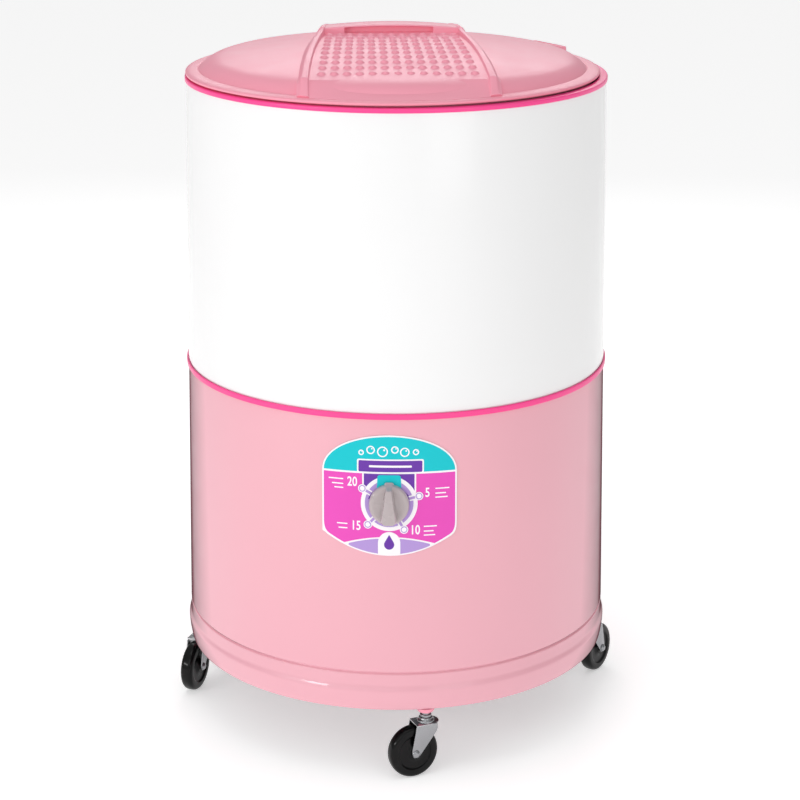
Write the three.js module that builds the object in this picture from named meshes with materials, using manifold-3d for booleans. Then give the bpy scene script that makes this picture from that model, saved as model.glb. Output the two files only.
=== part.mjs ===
// Round washing machine: one enamelled tub on a painted skirt, a lift-off lid with a
// washboard, and four swivel casters. Millimetres, +Z up, floor at z = 0, front facing -Y.

import * as THREE from 'three';
import { mergeVertices } from 'three/addons/utils/BufferGeometryUtils.js';
import Module from 'manifold-3d';

const wasm = await Module();
wasm.setup();

// ---------------------------------------------------------------- driving dimensions

const GAP = 0.3;                 // clearance kept between pieces that touch
const RUN = 0.25;                // radial clearance of a shaft turning in a bush
const RING_SEGMENTS = 36;        // facets round the big rings
const SMALL_SEGMENTS = 16;       // facets round shafts, tubes and knobs
const FINE_SEGMENTS = 24;        // facets round pulleys, motor and impeller
const TINY_SEGMENTS = 12;        // facets round stems, sockets and axles

const TUB_R = 275;               // outer radius of the enamelled tub
const TUB_NECK_R = 272;          // radius where the tub drops inside the skirt
const SHEET = 1.5;               // steel sheet thickness of tub and skirt
const TUB_FLOOR_Z = 404;         // underside of the tub floor
const TUB_TOP_Z = 831.5;

const SKIRT_R = 274.6;
const SKIRT_BOTTOM_Z = 85.6;
const SKIRT_GROOVE_Z = 134.5;    // pressed groove above the rolled foot band
const WAIST_Z = 453.3;           // lower edge of the waist trim
const WAIST_TOP_Z = 460.6;
const RIM_Z = 828.8;             // lower edge of the rim trim
const RIM_TOP_Z = 834.6;
const TRIM_R = 277.3;            // the waist trim stands proud of the tub
const RIM_TRIM_R = 276.6;

const LID_R = 271;
const LID_SHIFT_X = -4.7;        // the loose lid sits a little to one side
const LID_TURN_DEG = 2.2;        // and slightly turned
const LID_UNDER_Z = RIM_TOP_Z + GAP;
const LID_FLANGE_Z = RIM_Z + 14; // inner edge of the lid's flange
const LID_EDGE_Z = RIM_Z + 10.4; // its rounded outer edge is lower
const LID_WALL = 2.5;
const DOME_R = 225;              // radius where the shoulder meets the dome
const DOME_EDGE_Z = RIM_Z + 30;
const DOME_RISE = 16;

const BOARD_FRONT_R = 264.5;     // the washboard hump starts on this arc of the flange
const BOARD_CREASE_Y = -212;
const BOARD_WALL_Y = 50;         // rear wall of the washboard
const BOARD_END_Y = 238;
const BOARD_FLOOR_Z = RIM_Z + 48.5;
const BOARD_TOP_Z = RIM_Z + 57;
const BOARD_CROWN = 4;
const RAIL_WIDTH = 9;
const TAB_HALF_LENGTH = 36;
const TAB_HALF_WIDTH = 5.5;
const TAB_RISE = 5.8;            // above the flange
const TAB_CIRCLE_R = 257.5;
const TAB_TURN_DEG = -58.2;

const TIMER_X = -8.5;            // timer axis on the skirt front
const TIMER_Z = 349;
const KNOB_R = 24.5;
const KNOB_DEPTH = 20;
const LABEL_HALF_WIDTH = 82;
const LABEL_LOW_Z = 283;
const LABEL_SIDE_LOW_Z = 310;
const LABEL_SIDE_TOP_Z = 388;
const LABEL_TOP_Z = 434;
const LABEL_THICK = 0.6;

const SHAFT_R = 8;
const IMPELLER_R = 165;
const PULLEY_Z = 302;            // underside of both pulleys
const PULLEY_HEIGHT = 16;
const BELT_HEIGHT = 8;
const BELT_THICK = 8;
const DRIVEN_PITCH_R = 84;
const MOTOR_PITCH_R = 24;
const MOTOR_DISTANCE = 165;      // from the tub axis to the motor axis
const MOTOR_R = 62;
const MOTOR_LOW_Z = 186;
const MOTOR_HIGH_Z = 284;
const MOTOR_SHAFT_R = 6;

const CHASSIS_TURN_DEG = 7.9;    // the base cross and casters are turned by this
const STEM_CIRCLE_R = 264;
const FRAME_Z = 112;
const FRAME_THICK = 4;
const WHEEL_R = 31.75;
const WHEEL_HALF_WIDTH = 8.5;
const CASTER_TRAIL = 17.5;
const FORK_TOP_Z = 67.5;
const FORK_HALF_WIDTH = 12.2;
const FORK_SHEET = 2;
const FORK_NOSE = 4.5;           // the rounded end of the plate reaches past the stem
const CHEEK_FRONT = 11.5;
const AXLE_R = 3;
const STEM_R = 5;
const SOCKET_R = 7;

// Where each caster sits round the base, and the way its wheel trails (0 = towards the front).
const CASTERS = [
  { place: 'front', turnDeg: 0, trailDeg: -67 },
  { place: 'right', turnDeg: 87.8, trailDeg: 146 },
  { place: 'back', turnDeg: 180, trailDeg: 20 },
  { place: 'left', turnDeg: 263.2, trailDeg: -20 },
];

const HOSE_R = 14;
const HOSE_BORE_R = 10.5;
const SPOUT_R = 9.2;             // neck of the drain spout, inside the hose
const HOSE_EXIT_Z = 158;
const HOSE_TURN_DEG = -24;       // the drain hose leaves here, measured from the back
const HOSE_PLANE_Y = 301;        // outer hose stands in this plane behind the skirt
const DRAIN_R = 206;             // distance of the drain hole from the tub axis
const HOSE_TOP_Z = 752;
const HOSE_CLIP_Z = 640;
const CORD_R = 3.6;
const CORD_TURN_DEG = 36;
const CORD_EXIT_Z = 158;
const COIL_HALF_WIDTH = 46;      // the cord hangs in an oval coil
const COIL_HALF_HEIGHT = 105;
const COIL_PITCH = 9;

// ---------------------------------------------------------------- geometry helpers

const rad = (degrees) => THREE.MathUtils.degToRad(degrees);
const vec2 = (points) => points.map(([x, y]) => new THREE.Vector2(x, y));

// Welds shared vertices, drops collapsed triangles and turns the faces outward.
function closedGeometry(geometry) {
  const bare = geometry.index ? geometry.toNonIndexed() : geometry.clone();
  bare.deleteAttribute('normal');
  bare.deleteAttribute('uv');
  const merged = mergeVertices(bare, 1e-4);
  const index = merged.index.array;
  const position = merged.attributes.position;
  const kept = [];
  let volume = 0;
  const a = new THREE.Vector3();
  const b = new THREE.Vector3();
  const c = new THREE.Vector3();
  for (let i = 0; i < index.length; i += 3) {
    const [ia, ib, ic] = [index[i], index[i + 1], index[i + 2]];
    if (ia === ib || ib === ic || ic === ia) continue;
    kept.push(ia, ib, ic);
    a.fromBufferAttribute(position, ia);
    b.fromBufferAttribute(position, ib);
    c.fromBufferAttribute(position, ic);
    volume += a.dot(b.cross(c));
  }
  if (volume < 0) kept.reverse();
  merged.setIndex(kept);
  return merged;
}

function toSolid(geometry) {
  const closed = closedGeometry(geometry);
  return new wasm.Manifold(new wasm.Mesh({
    numProp: 3,
    vertProperties: new Float32Array(closed.attributes.position.array),
    triVerts: new Uint32Array(closed.index.array),
  }));
}

function fromSolid(solid) {
  const mesh = solid.getMesh();
  const geometry = new THREE.BufferGeometry();
  const positions = new Float32Array(mesh.vertProperties);
  geometry.setAttribute('position', new THREE.BufferAttribute(positions, 3));
  geometry.setIndex(new THREE.BufferAttribute(new Uint32Array(mesh.triVerts), 1));
  return geometry;
}

const join = (first, ...others) => fromSolid(
  others.reduce((sum, next) => sum.add(toSolid(next)), toSolid(first)));
const cut = (first, ...others) => fromSolid(
  others.reduce((rest, next) => rest.subtract(toSolid(next)), toSolid(first)));
const overlap = (first, second) => fromSolid(toSolid(first).intersect(toSolid(second)));

// Revolves [radius, z] points about Z. The outline closes on itself, or on the axis.
function lathe(outline, segments = SMALL_SEGMENTS) {
  const points = vec2(outline);
  if (outline[0][0] > 0) points.push(points[0].clone());
  return new THREE.LatheGeometry(points, segments).rotateX(Math.PI / 2);
}

const disc = (radius, low, high, segments = SMALL_SEGMENTS) => lathe(
  [[0, low], [radius, low], [radius, high], [0, high]], segments);
const tube = (outer, inner, low, high, segments = SMALL_SEGMENTS) => lathe(
  [[inner, low], [outer, low], [outer, high], [inner, high]], segments);

// Sheet metal profile: the outer line, then the same line moved inward by the thickness.
function sheetOutline(line, thickness) {
  const points = vec2(line);
  const normals = points.map((point, i) => {
    const before = points[Math.max(i - 1, 0)];
    const after = points[Math.min(i + 1, points.length - 1)];
    const first = point.clone().sub(before).normalize();
    const second = after.clone().sub(point).normalize();
    if (i === 0) first.copy(second);
    if (i === points.length - 1) second.copy(first);
    const middle = first.clone().add(second).normalize();
    const stretch = 1 / Math.max(middle.dot(first), 0.5);
    return new THREE.Vector2(-middle.y, middle.x).multiplyScalar(thickness * stretch);
  });
  const inner = points.map((point, i) => point.clone().add(normals[i])).reverse();
  return [...points, ...inner].map((point) => [point.x, point.y]);
}

function arcPoints(cx, cy, radius, fromDeg, toDeg, steps) {
  const points = [];
  for (let i = 0; i <= steps; i += 1) {
    const angle = rad(fromDeg + ((toDeg - fromDeg) * i) / steps);
    points.push([cx + radius * Math.cos(angle), cy + radius * Math.sin(angle)]);
  }
  return points;
}

function extrude(outline, depth, holes = []) {
  const shape = new THREE.Shape(vec2(outline));
  holes.forEach((hole) => shape.holes.push(new THREE.Path(vec2(hole))));
  return new THREE.ExtrudeGeometry(shape, { depth, bevelEnabled: false, steps: 1 });
}

const circle = (cx, cy, radius, steps = SMALL_SEGMENTS) => arcPoints(
  cx, cy, radius, 0, 360 - 360 / steps, steps - 1);

function sweep(points, radius, steps, bore = 0, sides = 8) {
  const knots = points.map((point) => new THREE.Vector3(...point));
  const curve = new THREE.CatmullRomCurve3(knots, false, 'centripetal');
  const shape = new THREE.Shape(vec2(circle(0, 0, radius, sides)));
  if (bore > 0) shape.holes.push(new THREE.Path(vec2(circle(0, 0, bore, sides))));
  return new THREE.ExtrudeGeometry(shape, { steps, bevelEnabled: false, extrudePath: curve });
}

// A block standing on the plane z = low, whose top is a grid of points.
function gridBlock(rows, low) {
  const across = rows[0].length;
  const down = rows.length;
  const positions = [];
  rows.flat().forEach((point) => positions.push(...point));
  rows.flat().forEach(([x, y]) => positions.push(x, y, low));
  const top = (i, j) => i * across + j;
  const bottom = (i, j) => down * across + top(i, j);
  const faces = [];
  const quad = (p, q, r, s) => faces.push(p, q, r, p, r, s);
  for (let i = 0; i < down - 1; i += 1) {
    for (let j = 0; j < across - 1; j += 1) {
      quad(top(i, j), top(i, j + 1), top(i + 1, j + 1), top(i + 1, j));
      quad(bottom(i, j), bottom(i + 1, j), bottom(i + 1, j + 1), bottom(i, j + 1));
    }
  }
  for (let j = 0; j < across - 1; j += 1) {
    quad(bottom(0, j), bottom(0, j + 1), top(0, j + 1), top(0, j));
    quad(bottom(down - 1, j + 1), bottom(down - 1, j), top(down - 1, j), top(down - 1, j + 1));
  }
  for (let i = 0; i < down - 1; i += 1) {
    quad(bottom(i + 1, 0), bottom(i, 0), top(i, 0), top(i + 1, 0));
    quad(bottom(i, across - 1), bottom(i + 1, across - 1), top(i + 1, across - 1), top(i, across - 1));
  }
  const geometry = new THREE.BufferGeometry();
  geometry.setAttribute('position', new THREE.Float32BufferAttribute(positions, 3));
  geometry.setIndex(faces);
  return geometry;
}

// Turns a piece built along +Z so that it points out of the front, along -Y.
const pointForward = (geometry) => geometry.rotateX(Math.PI / 2);
// Turns a piece built along +Z so that it points along +Y.
const pointBack = (geometry) => geometry.rotateX(-Math.PI / 2);
// Turns a piece built along +Z so that it points along +X.
const pointSideways = (geometry) => geometry.rotateY(Math.PI / 2);

// Stands a plate drawn in (y, z) upright, its thickness running from x towards +X.
function standUpright(geometry, x) {
  return geometry.applyMatrix4(new THREE.Matrix4().set(
    0, 0, 1, x,
    1, 0, 0, 0,
    0, 1, 0, 0,
    0, 0, 0, 1,
  ));
}

// ---------------------------------------------------------------- materials

const finish = (color, roughness, metalness = 0) => () => new THREE.MeshStandardMaterial({
  color, roughness, metalness,
});
const paleEnamel = finish(0xf7f7f6, 0.15);
const pinkPaint = finish(0xf2b4be, 0.3);
const hotPink = finish(0xff4b9b, 0.4);
const pinkPlastic = finish(0xf9bcc8, 0.4);
const labelPrint = finish(0xd653ab, 0.4);
const greyKnob = finish(0xb2a6a8, 0.35);
const blackPlastic = finish(0x1b1b1c, 0.5);
const blackRubber = finish(0x111112, 0.7);
const zincSteel = finish(0xc4c6c8, 0.25, 1);
const darkSteel = finish(0x6e7276, 0.45, 1);
const castAluminium = finish(0xa9adb0, 0.45, 1);
const motorPaint = finish(0x34383c, 0.5);
const greyHose = finish(0xa9adb2, 0.55);
const whitePlastic = finish(0xe9eaea, 0.4);
const brassBush = finish(0xb08d4a, 0.4, 1);

// ---------------------------------------------------------------- scene graph

const washer = new THREE.Group();

function add(parent, name, geometry, material) {
  const mesh = new THREE.Mesh(closedGeometry(geometry), material());
  mesh.name = name;
  parent.add(mesh);
  return mesh;
}

function addGroup(parent, turnDeg, x = 0, y = 0, z = 0) {
  const group = new THREE.Group();
  group.position.set(x, y, z);
  group.rotation.z = rad(turnDeg);
  parent.add(group);
  return group;
}

const hoseGroup = addGroup(washer, HOSE_TURN_DEG);
const cordGroup = addGroup(washer, CORD_TURN_DEG);
const chassis = addGroup(washer, CHASSIS_TURN_DEG);
const timerTurnDeg = THREE.MathUtils.radToDeg(Math.asin(TIMER_X / SKIRT_R));
const timerY = -Math.sqrt(SKIRT_R ** 2 - TIMER_X ** 2);
const timerGroup = addGroup(washer, timerTurnDeg, TIMER_X, timerY, TIMER_Z);

// A cylinder along a group's radial Y axis, moved into the washer's own frame for cutting.
function radialBore(radius, turnDeg, direction, z) {
  const bore = pointBack(disc(radius, TUB_R - 30, TUB_R + 30));
  if (direction < 0) bore.rotateZ(Math.PI);
  return bore.rotateZ(rad(turnDeg)).translate(0, 0, z);
}

// ---------------------------------------------------------------- skirt, tub and trims

const SKIRT_LINE = [
  [273.8, SKIRT_BOTTOM_Z], [275, SKIRT_BOTTOM_Z + 2],
  [275.4, SKIRT_BOTTOM_Z + 24], [274.9, SKIRT_GROOVE_Z - 6], [273.4, SKIRT_GROOVE_Z - 1.5],
  [273.4, SKIRT_GROOVE_Z + 1.5], [SKIRT_R, SKIRT_GROOVE_Z + 6], [SKIRT_R, WAIST_Z - GAP],
];

function skirt() {
  return cut(
    lathe(sheetOutline(SKIRT_LINE, SHEET), RING_SEGMENTS),
    radialBore(7.5, timerTurnDeg, -1, TIMER_Z),
    radialBore(17.5, HOSE_TURN_DEG, 1, HOSE_EXIT_Z),
    radialBore(9.5, CORD_TURN_DEG, 1, CORD_EXIT_Z),
  );
}

function tub() {
  const line = [
    [24, TUB_FLOOR_Z], [236, TUB_FLOOR_Z],
    ...arcPoints(TUB_NECK_R - 28, TUB_FLOOR_Z + 28, 28, -90, 0, 3).slice(1),
    [TUB_NECK_R, WAIST_Z + 2.7], [TUB_R, WAIST_TOP_Z + 0.6],
    [TUB_R, TUB_TOP_Z - 1.6], [TUB_R - 1.8, TUB_TOP_Z], [268.2, TUB_TOP_Z],
  ];
  const drainHole = disc(17.5, TUB_FLOOR_Z - 5, TUB_FLOOR_Z + 5)
    .translate(0, DRAIN_R, 0)
    .rotateZ(rad(HOSE_TURN_DEG));
  return cut(lathe(sheetOutline(line, SHEET), RING_SEGMENTS), drainHole);
}

function waistTrim() {
  return lathe([
    [TUB_NECK_R + 0.4, WAIST_Z], [TRIM_R - 0.8, WAIST_Z], [TRIM_R, WAIST_Z + 1.2],
    [TRIM_R, WAIST_TOP_Z - 1.2], [TRIM_R - 0.8, WAIST_TOP_Z], [TUB_R + GAP, WAIST_TOP_Z],
    [TUB_NECK_R + 0.4, WAIST_Z + 2.5],
  ], RING_SEGMENTS);
}

// U channel pushed over the tub's rolled rim; its flat top carries the lid.
function rimTrim() {
  return lathe([
    [TUB_R + GAP, RIM_Z], [RIM_TRIM_R - 0.4, RIM_Z], [RIM_TRIM_R, RIM_Z + 0.6],
    [RIM_TRIM_R, RIM_TOP_Z - 1.4], [RIM_TRIM_R - 1.4, RIM_TOP_Z], [266, RIM_TOP_Z],
    [265.4, RIM_TOP_Z - 0.8], [265.4, RIM_Z],
    [267.2, RIM_Z], [267.2, TUB_TOP_Z + GAP], [TUB_R - 1.2, TUB_TOP_Z + GAP],
    [TUB_R + GAP, TUB_TOP_Z - 0.9],
  ], RING_SEGMENTS);
}

add(washer, 'skirt', skirt(), pinkPaint);
add(washer, 'tub', tub(), paleEnamel);
add(washer, 'waist_trim', waistTrim(), hotPink);
add(washer, 'rim_trim', rimTrim(), hotPink);

// ---------------------------------------------------------------- lid

const domeHeight = (r) => DOME_EDGE_Z + DOME_RISE * (1 - (r / DOME_R) ** 2);

const DOME_RADII = [DOME_R, 170, 100, 0];
const LID_INSIDE = [
  ...DOME_RADII.map((r) => [r, domeHeight(r) - LID_WALL]).reverse(),
  [236, RIM_Z + 22.5], [246, RIM_Z + 15.5], [255.6, RIM_Z + 10],
];

// Domed shell with a drooping flange, a shadow step under the flange and a locating ring.
function lidShell() {
  return lathe([
    ...LID_INSIDE,
    [256, LID_UNDER_Z - 22], [258.4, LID_UNDER_Z - 22], [258.4, LID_UNDER_Z],
    [264, LID_UNDER_Z], [264.8, LID_UNDER_Z + 2], [LID_R - 1.4, LID_UNDER_Z + 2],
    [LID_R, LID_UNDER_Z + 2.8], [LID_R, LID_EDGE_Z], [LID_R - 2.2, LID_EDGE_Z + 2],
    [262, LID_FLANGE_Z - 0.5], [255.4, LID_FLANGE_Z],
    [254.4, LID_FLANGE_Z - 0.8], [253, LID_FLANGE_Z + 0.6],
    [246.5, LID_FLANGE_Z + 6], [237, LID_FLANGE_Z + 12.2],
    ...DOME_RADII.map((r) => [r, domeHeight(r)]),
  ], RING_SEGMENTS);
}

const boardProgress = (y) => THREE.MathUtils.clamp(
  (y - BOARD_CREASE_Y) / (BOARD_WALL_Y - BOARD_CREASE_Y), 0, 1);
const boardFloor = (y) => BOARD_FLOOR_Z - 0.000367 * Math.max(0, 10 - y) ** 2;
const railWidth = (y) => RAIL_WIDTH - 2.5 * boardProgress(y);
const boardHalfWidth = (y) => 110.5 - 9 * boardProgress(y) - 12.5 * boardProgress(y) ** 2
  + railWidth(y);

// One row across the hump: outer foot, rail, floor, rail, outer foot.
function boardRow(y, floorZ, railHeight, crown, inset) {
  const arcRow = y < BOARD_CREASE_Y - 1;
  const tail = Math.max(0, (y - BOARD_WALL_Y) / (BOARD_END_Y - BOARD_WALL_Y));
  const half = boardHalfWidth(y) + (arcRow ? 2 : 0) - 14 * tail - inset;
  const footX = half + 2.5 + 7.5 * boardProgress(y);
  const drop = inset > 0 ? LID_WALL : 0;
  const footZ = Math.min(domeHeight(Math.hypot(footX, y)), floorZ) - 3;
  const rightHalf = [
    [half * 0.45, floorZ + crown * 0.75], [half - railWidth(y) - 1, floorZ],
    [half - railWidth(y), floorZ + railHeight], [half, floorZ + railHeight], [footX, footZ],
  ];
  const leftHalf = rightHalf.map(([x, z]) => [-x, z]).reverse();
  return [...leftHalf, [0, floorZ + crown], ...rightHalf].map(([x, z]) => {
    const arcY = -Math.sqrt((BOARD_FRONT_R + 0.5 - inset * 2) ** 2 - x * x);
    return [x, arcRow ? arcY : y, z - drop];
  });
}

function boardRows(inset) {
  const wall = BOARD_WALL_Y + inset;
  const rows = [boardRow(-240, LID_FLANGE_Z + 0.3, 2, 0, inset)];
  for (const y of [BOARD_CREASE_Y, -150, -75, 0]) {
    rows.push(boardRow(y, boardFloor(y), 3.5 + 4 * boardProgress(y) ** 3, 0, inset));
  }
  rows.push(boardRow(wall, BOARD_FLOOR_Z, BOARD_TOP_Z - BOARD_FLOOR_Z + 1.5, 0, inset));
  rows.push(boardRow(wall + 1, BOARD_TOP_Z, 1.5, BOARD_CROWN, inset));
  rows.push(boardRow(80, BOARD_TOP_Z - 0.5, 1, BOARD_CROWN, inset));
  rows.push(boardRow(140, BOARD_TOP_Z - 7, 0.4, BOARD_CROWN, inset));
  rows.push(boardRow(190, BOARD_TOP_Z - 18, 0.2, 2, inset));
  rows.push(boardRow(BOARD_END_Y - inset, DOME_EDGE_Z - 8, 0.1, 0.2, inset));
  return rows;
}

// Upright block with the plan outline of the hump, a little inside its foot.
function boardFootprint(inset, low, high) {
  const rows = boardRows(inset);
  const right = rows.map((row) => row[row.length - 1]);
  const left = rows.map((row) => row[0]).reverse();
  const front = rows[0].slice(1, -1);
  const outline = [...right, ...left, ...front].map(([x, y]) => [x, y]);
  return extrude(outline, high - low).translate(0, 0, low);
}

// Shallow grip recess in the middle of the washboard's rear wall.
const boardPocket = () => new THREE.BoxGeometry(117, 3, 7)
  .translate(-3, BOARD_WALL_Y + 0.3, BOARD_FLOOR_Z + 4.6);

// Slotted tab on the flange, right of the back.
function liftTab() {
  const bar = (x, y) => [[-x, -y], [x, -y], [x, y], [-x, y]];
  const root = 1.6;
  const tab = cut(
    extrude(bar(TAB_HALF_LENGTH, TAB_HALF_WIDTH), root + TAB_RISE),
    extrude(bar(TAB_HALF_LENGTH - 7, 1.5), 4).translate(0, 0, root + TAB_RISE - 3),
  );
  return tab.translate(0, TAB_CIRCLE_R, LID_FLANGE_Z - root).rotateZ(rad(TAB_TURN_DEG));
}

// The hump is hollow; its sides end in short ribs under the dome.
function lid() {
  const low = LID_UNDER_Z + 2.2;
  const high = BOARD_TOP_Z + 30;
  const flangeDisc = disc(BOARD_FRONT_R, low - 1, high, RING_SEGMENTS);
  const domeDisc = disc(254, low - 29, high, RING_SEGMENTS);
  const block = overlap(gridBlock(boardRows(0), low), flangeDisc);
  const hollow = overlap(gridBlock(boardRows(LID_WALL), low - 20), domeDisc);
  const opening = overlap(boardFootprint(1.2, low - 30, high), domeDisc);
  const ribDepth = 6;
  const underLine = [[0, low - 40], [255, low - 40], ...LID_INSIDE.slice().reverse()];
  const underDome = lathe(underLine, RING_SEGMENTS).translate(0, 0, -ribDepth);
  const board = cut(block, hollow, boardPocket(), underDome);
  return join(cut(lidShell(), opening), board, liftTab());
}

const lidGroup = addGroup(washer, LID_TURN_DEG, LID_SHIFT_X);
add(lidGroup, 'lid', lid(), pinkPlastic);

// ---------------------------------------------------------------- label and timer

// Printed plate curved to the skirt, with a domed top and a shallow curved foot.
function labelPlate() {
  const w = LABEL_HALF_WIDTH;
  const outline = [[-w, LABEL_SIDE_LOW_Z]];
  const steps = 10;
  for (let i = 1; i < steps; i += 1) {
    const u = -1 + (2 * i) / steps;
    const sag = (LABEL_SIDE_LOW_Z - LABEL_LOW_Z) * (1 - u * u);
    outline.push([w * u, LABEL_SIDE_LOW_Z - sag]);
  }
  outline.push([w, LABEL_SIDE_LOW_Z], [w, LABEL_SIDE_TOP_Z]);
  for (let i = 1; i < steps; i += 1) {
    const u = 1 - (2 * i) / steps;
    const rise = (LABEL_TOP_Z - LABEL_SIDE_TOP_Z) * Math.sqrt(1 - u * u);
    outline.push([w * u, LABEL_SIDE_TOP_Z + rise]);
  }
  outline.push([-w, LABEL_SIDE_TOP_Z]);
  const prism = extrude(outline, 60, [circle(0, TIMER_Z, 5)])
    .rotateX(Math.PI / 2)
    .translate(0, -SKIRT_R + 40, 0)
    .rotateZ(rad(timerTurnDeg));
  const inner = SKIRT_R + 0.4;
  const skin = tube(inner + LABEL_THICK, inner, LABEL_LOW_Z - 5, LABEL_TOP_Z + 5, RING_SEGMENTS);
  return overlap(skin, prism);
}

// Dial knob: round foot, tapered grip bar that flares downward, and a pointer nub.
function knob() {
  const base = lathe([
    [0, 0], [KNOB_R, 0], [KNOB_R, 3.5], [KNOB_R - 1.5, 5.5], [15, 7.5], [0, 8.5],
  ], FINE_SEGMENTS);
  const grip = extrude([
    [-3.2, 24.6], [3.2, 24.6], [5, 12], [6.5, 0], [9.2, -13], [8.8, -19.5], [5, -22.6],
    [-5, -22.6], [-8.8, -19.5], [-9.2, -13], [-6.5, 0], [-5, 12],
  ], KNOB_DEPTH);
  return cut(join(base, grip), disc(3 + GAP, -1, 12));
}

function timerBody() {
  const box = new THREE.BoxGeometry(56, 26, 56).translate(0, 17, 0);
  const neck = pointForward(tube(6.5, 3 + GAP, -6, -1.5));
  const bore = pointForward(disc(3 + GAP, -26, 1));
  return cut(join(box, neck), bore);
}

add(washer, 'label_plate', labelPlate(), labelPrint);
add(timerGroup, 'timer_body', timerBody(), whitePlastic);
add(timerGroup, 'timer_shaft', pointForward(disc(3, -22, 11.5)), zincSteel);
add(timerGroup, 'timer_knob', pointForward(knob().translate(0, 0, 1.6)), greyKnob);

// ---------------------------------------------------------------- impeller drive

function bearingHousing() {
  const top = TUB_FLOOR_Z - GAP;
  return lathe([
    [12 + GAP, 336], [20, 336], [20, top - 14], [26, top - 5], [58, top - 4], [58, top], [12 + GAP, top],
  ], SMALL_SEGMENTS);
}

function tubSeal() {
  return lathe([
    [SHAFT_R + RUN, TUB_FLOOR_Z + 0.2], [23.4, TUB_FLOOR_Z + 0.2], [23.4, TUB_FLOOR_Z + 3],
    [15, TUB_FLOOR_Z + 5.5], [SHAFT_R + RUN, TUB_FLOOR_Z + 5.5],
  ]);
}

const IMPELLER_Z = TUB_FLOOR_Z + 10;

// Shallow dish on a hub, with six curved fins standing on it.
function impeller() {
  const dish = lathe([
    [SHAFT_R + GAP, IMPELLER_Z - 2], [18, IMPELLER_Z - 2], [20, IMPELLER_Z + 6],
    [150, IMPELLER_Z + 4], [158, IMPELLER_Z - 1], [IMPELLER_R, IMPELLER_Z - 1],
    [IMPELLER_R, IMPELLER_Z + 2], [152, IMPELLER_Z + 8], [40, IMPELLER_Z + 14],
    [24, IMPELLER_Z + 24], [12, IMPELLER_Z + 25], [12, IMPELLER_Z + 15], [SHAFT_R + GAP, IMPELLER_Z + 15],
  ], FINE_SEGMENTS);
  const fin = (turn) => extrude([
    [18, -5], [60, -9], [110, -8], [148, -3], [150, 3], [110, 2], [60, 3], [18, 5],
  ], 20).translate(0, 0, IMPELLER_Z + 5).rotateZ(turn);
  const fins = [0, 1, 2, 3, 4, 5].map((i) => fin((i * Math.PI) / 3));
  const crown = lathe([
    [0, IMPELLER_Z + 4], [156, IMPELLER_Z + 4], [150, IMPELLER_Z + 10], [60, IMPELLER_Z + 22],
    [26, IMPELLER_Z + 26], [0, IMPELLER_Z + 26],
  ], FINE_SEGMENTS);
  const trimmedFins = fins.map((piece) => cut(overlap(piece, crown), disc(14, 0, 500)));
  return join(dish, ...trimmedFins);
}

function impellerCap() {
  const low = IMPELLER_Z + 26.3;
  return lathe([[0, low], [22, low], [21, low + 3], [14, low + 6.5], [0, low + 8]]);
}

function pulley(pitchR, bore) {
  const low = PULLEY_Z;
  const high = PULLEY_Z + PULLEY_HEIGHT;
  const middle = (low + high) / 2;
  return lathe([
    [bore, low], [pitchR + 4, low], [pitchR + 4, low + 2], [pitchR - 5, middle - 3.6],
    [pitchR - 5, middle + 3.6], [pitchR + 4, high - 2], [pitchR + 4, high], [bore, high],
  ], pitchR > 50 ? FINE_SEGMENTS : SMALL_SEGMENTS);
}

// V-belt round both pulleys, as the outline of two arcs and two tangent lines.
function driveBelt() {
  const loop = (offset) => {
    const big = DRIVEN_PITCH_R + offset;
    const small = MOTOR_PITCH_R + offset;
    const lean = THREE.MathUtils.radToDeg(Math.asin((big - small) / MOTOR_DISTANCE));
    return [
      ...arcPoints(0, 0, big, 180 - lean, 360 + lean, 28),
      ...arcPoints(0, MOTOR_DISTANCE, small, lean, 180 - lean, 12),
    ];
  };
  const low = PULLEY_Z + (PULLEY_HEIGHT - BELT_HEIGHT) / 2;
  return extrude(loop(4 + BELT_THICK / 2), BELT_HEIGHT, [loop(4 + GAP)])
    .translate(0, 0, low);
}

add(washer, 'bearing_housing', bearingHousing(), castAluminium);
add(washer, 'upper_bush', tube(12, SHAFT_R + RUN, 384, 403), brassBush);
add(washer, 'lower_bush', tube(12, SHAFT_R + RUN, 337, 357), brassBush);
add(washer, 'tub_seal', tubSeal(), blackRubber);
add(washer, 'drive_shaft', disc(SHAFT_R, PULLEY_Z - 6, IMPELLER_Z + 25), zincSteel);
add(washer, 'impeller', impeller(), whitePlastic);
add(washer, 'impeller_cap', impellerCap(), hotPink);
add(washer, 'driven_pulley', pulley(DRIVEN_PITCH_R, SHAFT_R + GAP), castAluminium);

// ---------------------------------------------------------------- motor and base frame

// Flat cross with a rim: four quadrant windows and a hole for each caster socket.
function baseFrame() {
  const armHalf = 32;
  const windowR = 240;
  const startDeg = THREE.MathUtils.radToDeg(Math.asin(armHalf / windowR));
  const window = extrude(
    [[armHalf, armHalf], ...arcPoints(0, 0, windowR, startDeg, 90 - startDeg, 10)], 3 * FRAME_THICK);
  const lower = FRAME_Z - FRAME_THICK;
  const windows = [0, 90, 180, 270].map(
    (turn) => window.clone().rotateZ(rad(turn)).translate(0, 0, lower));
  const socketHoles = CASTERS.map(({ turnDeg }) => disc(SOCKET_R + GAP, lower, lower + 3 * FRAME_THICK)
    .translate(0, -STEM_CIRCLE_R, 0)
    .rotateZ(rad(turnDeg)));
  const plate = disc(272.8, FRAME_Z, FRAME_Z + FRAME_THICK, RING_SEGMENTS);
  return cut(plate, ...windows, ...socketHoles);
}

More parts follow.
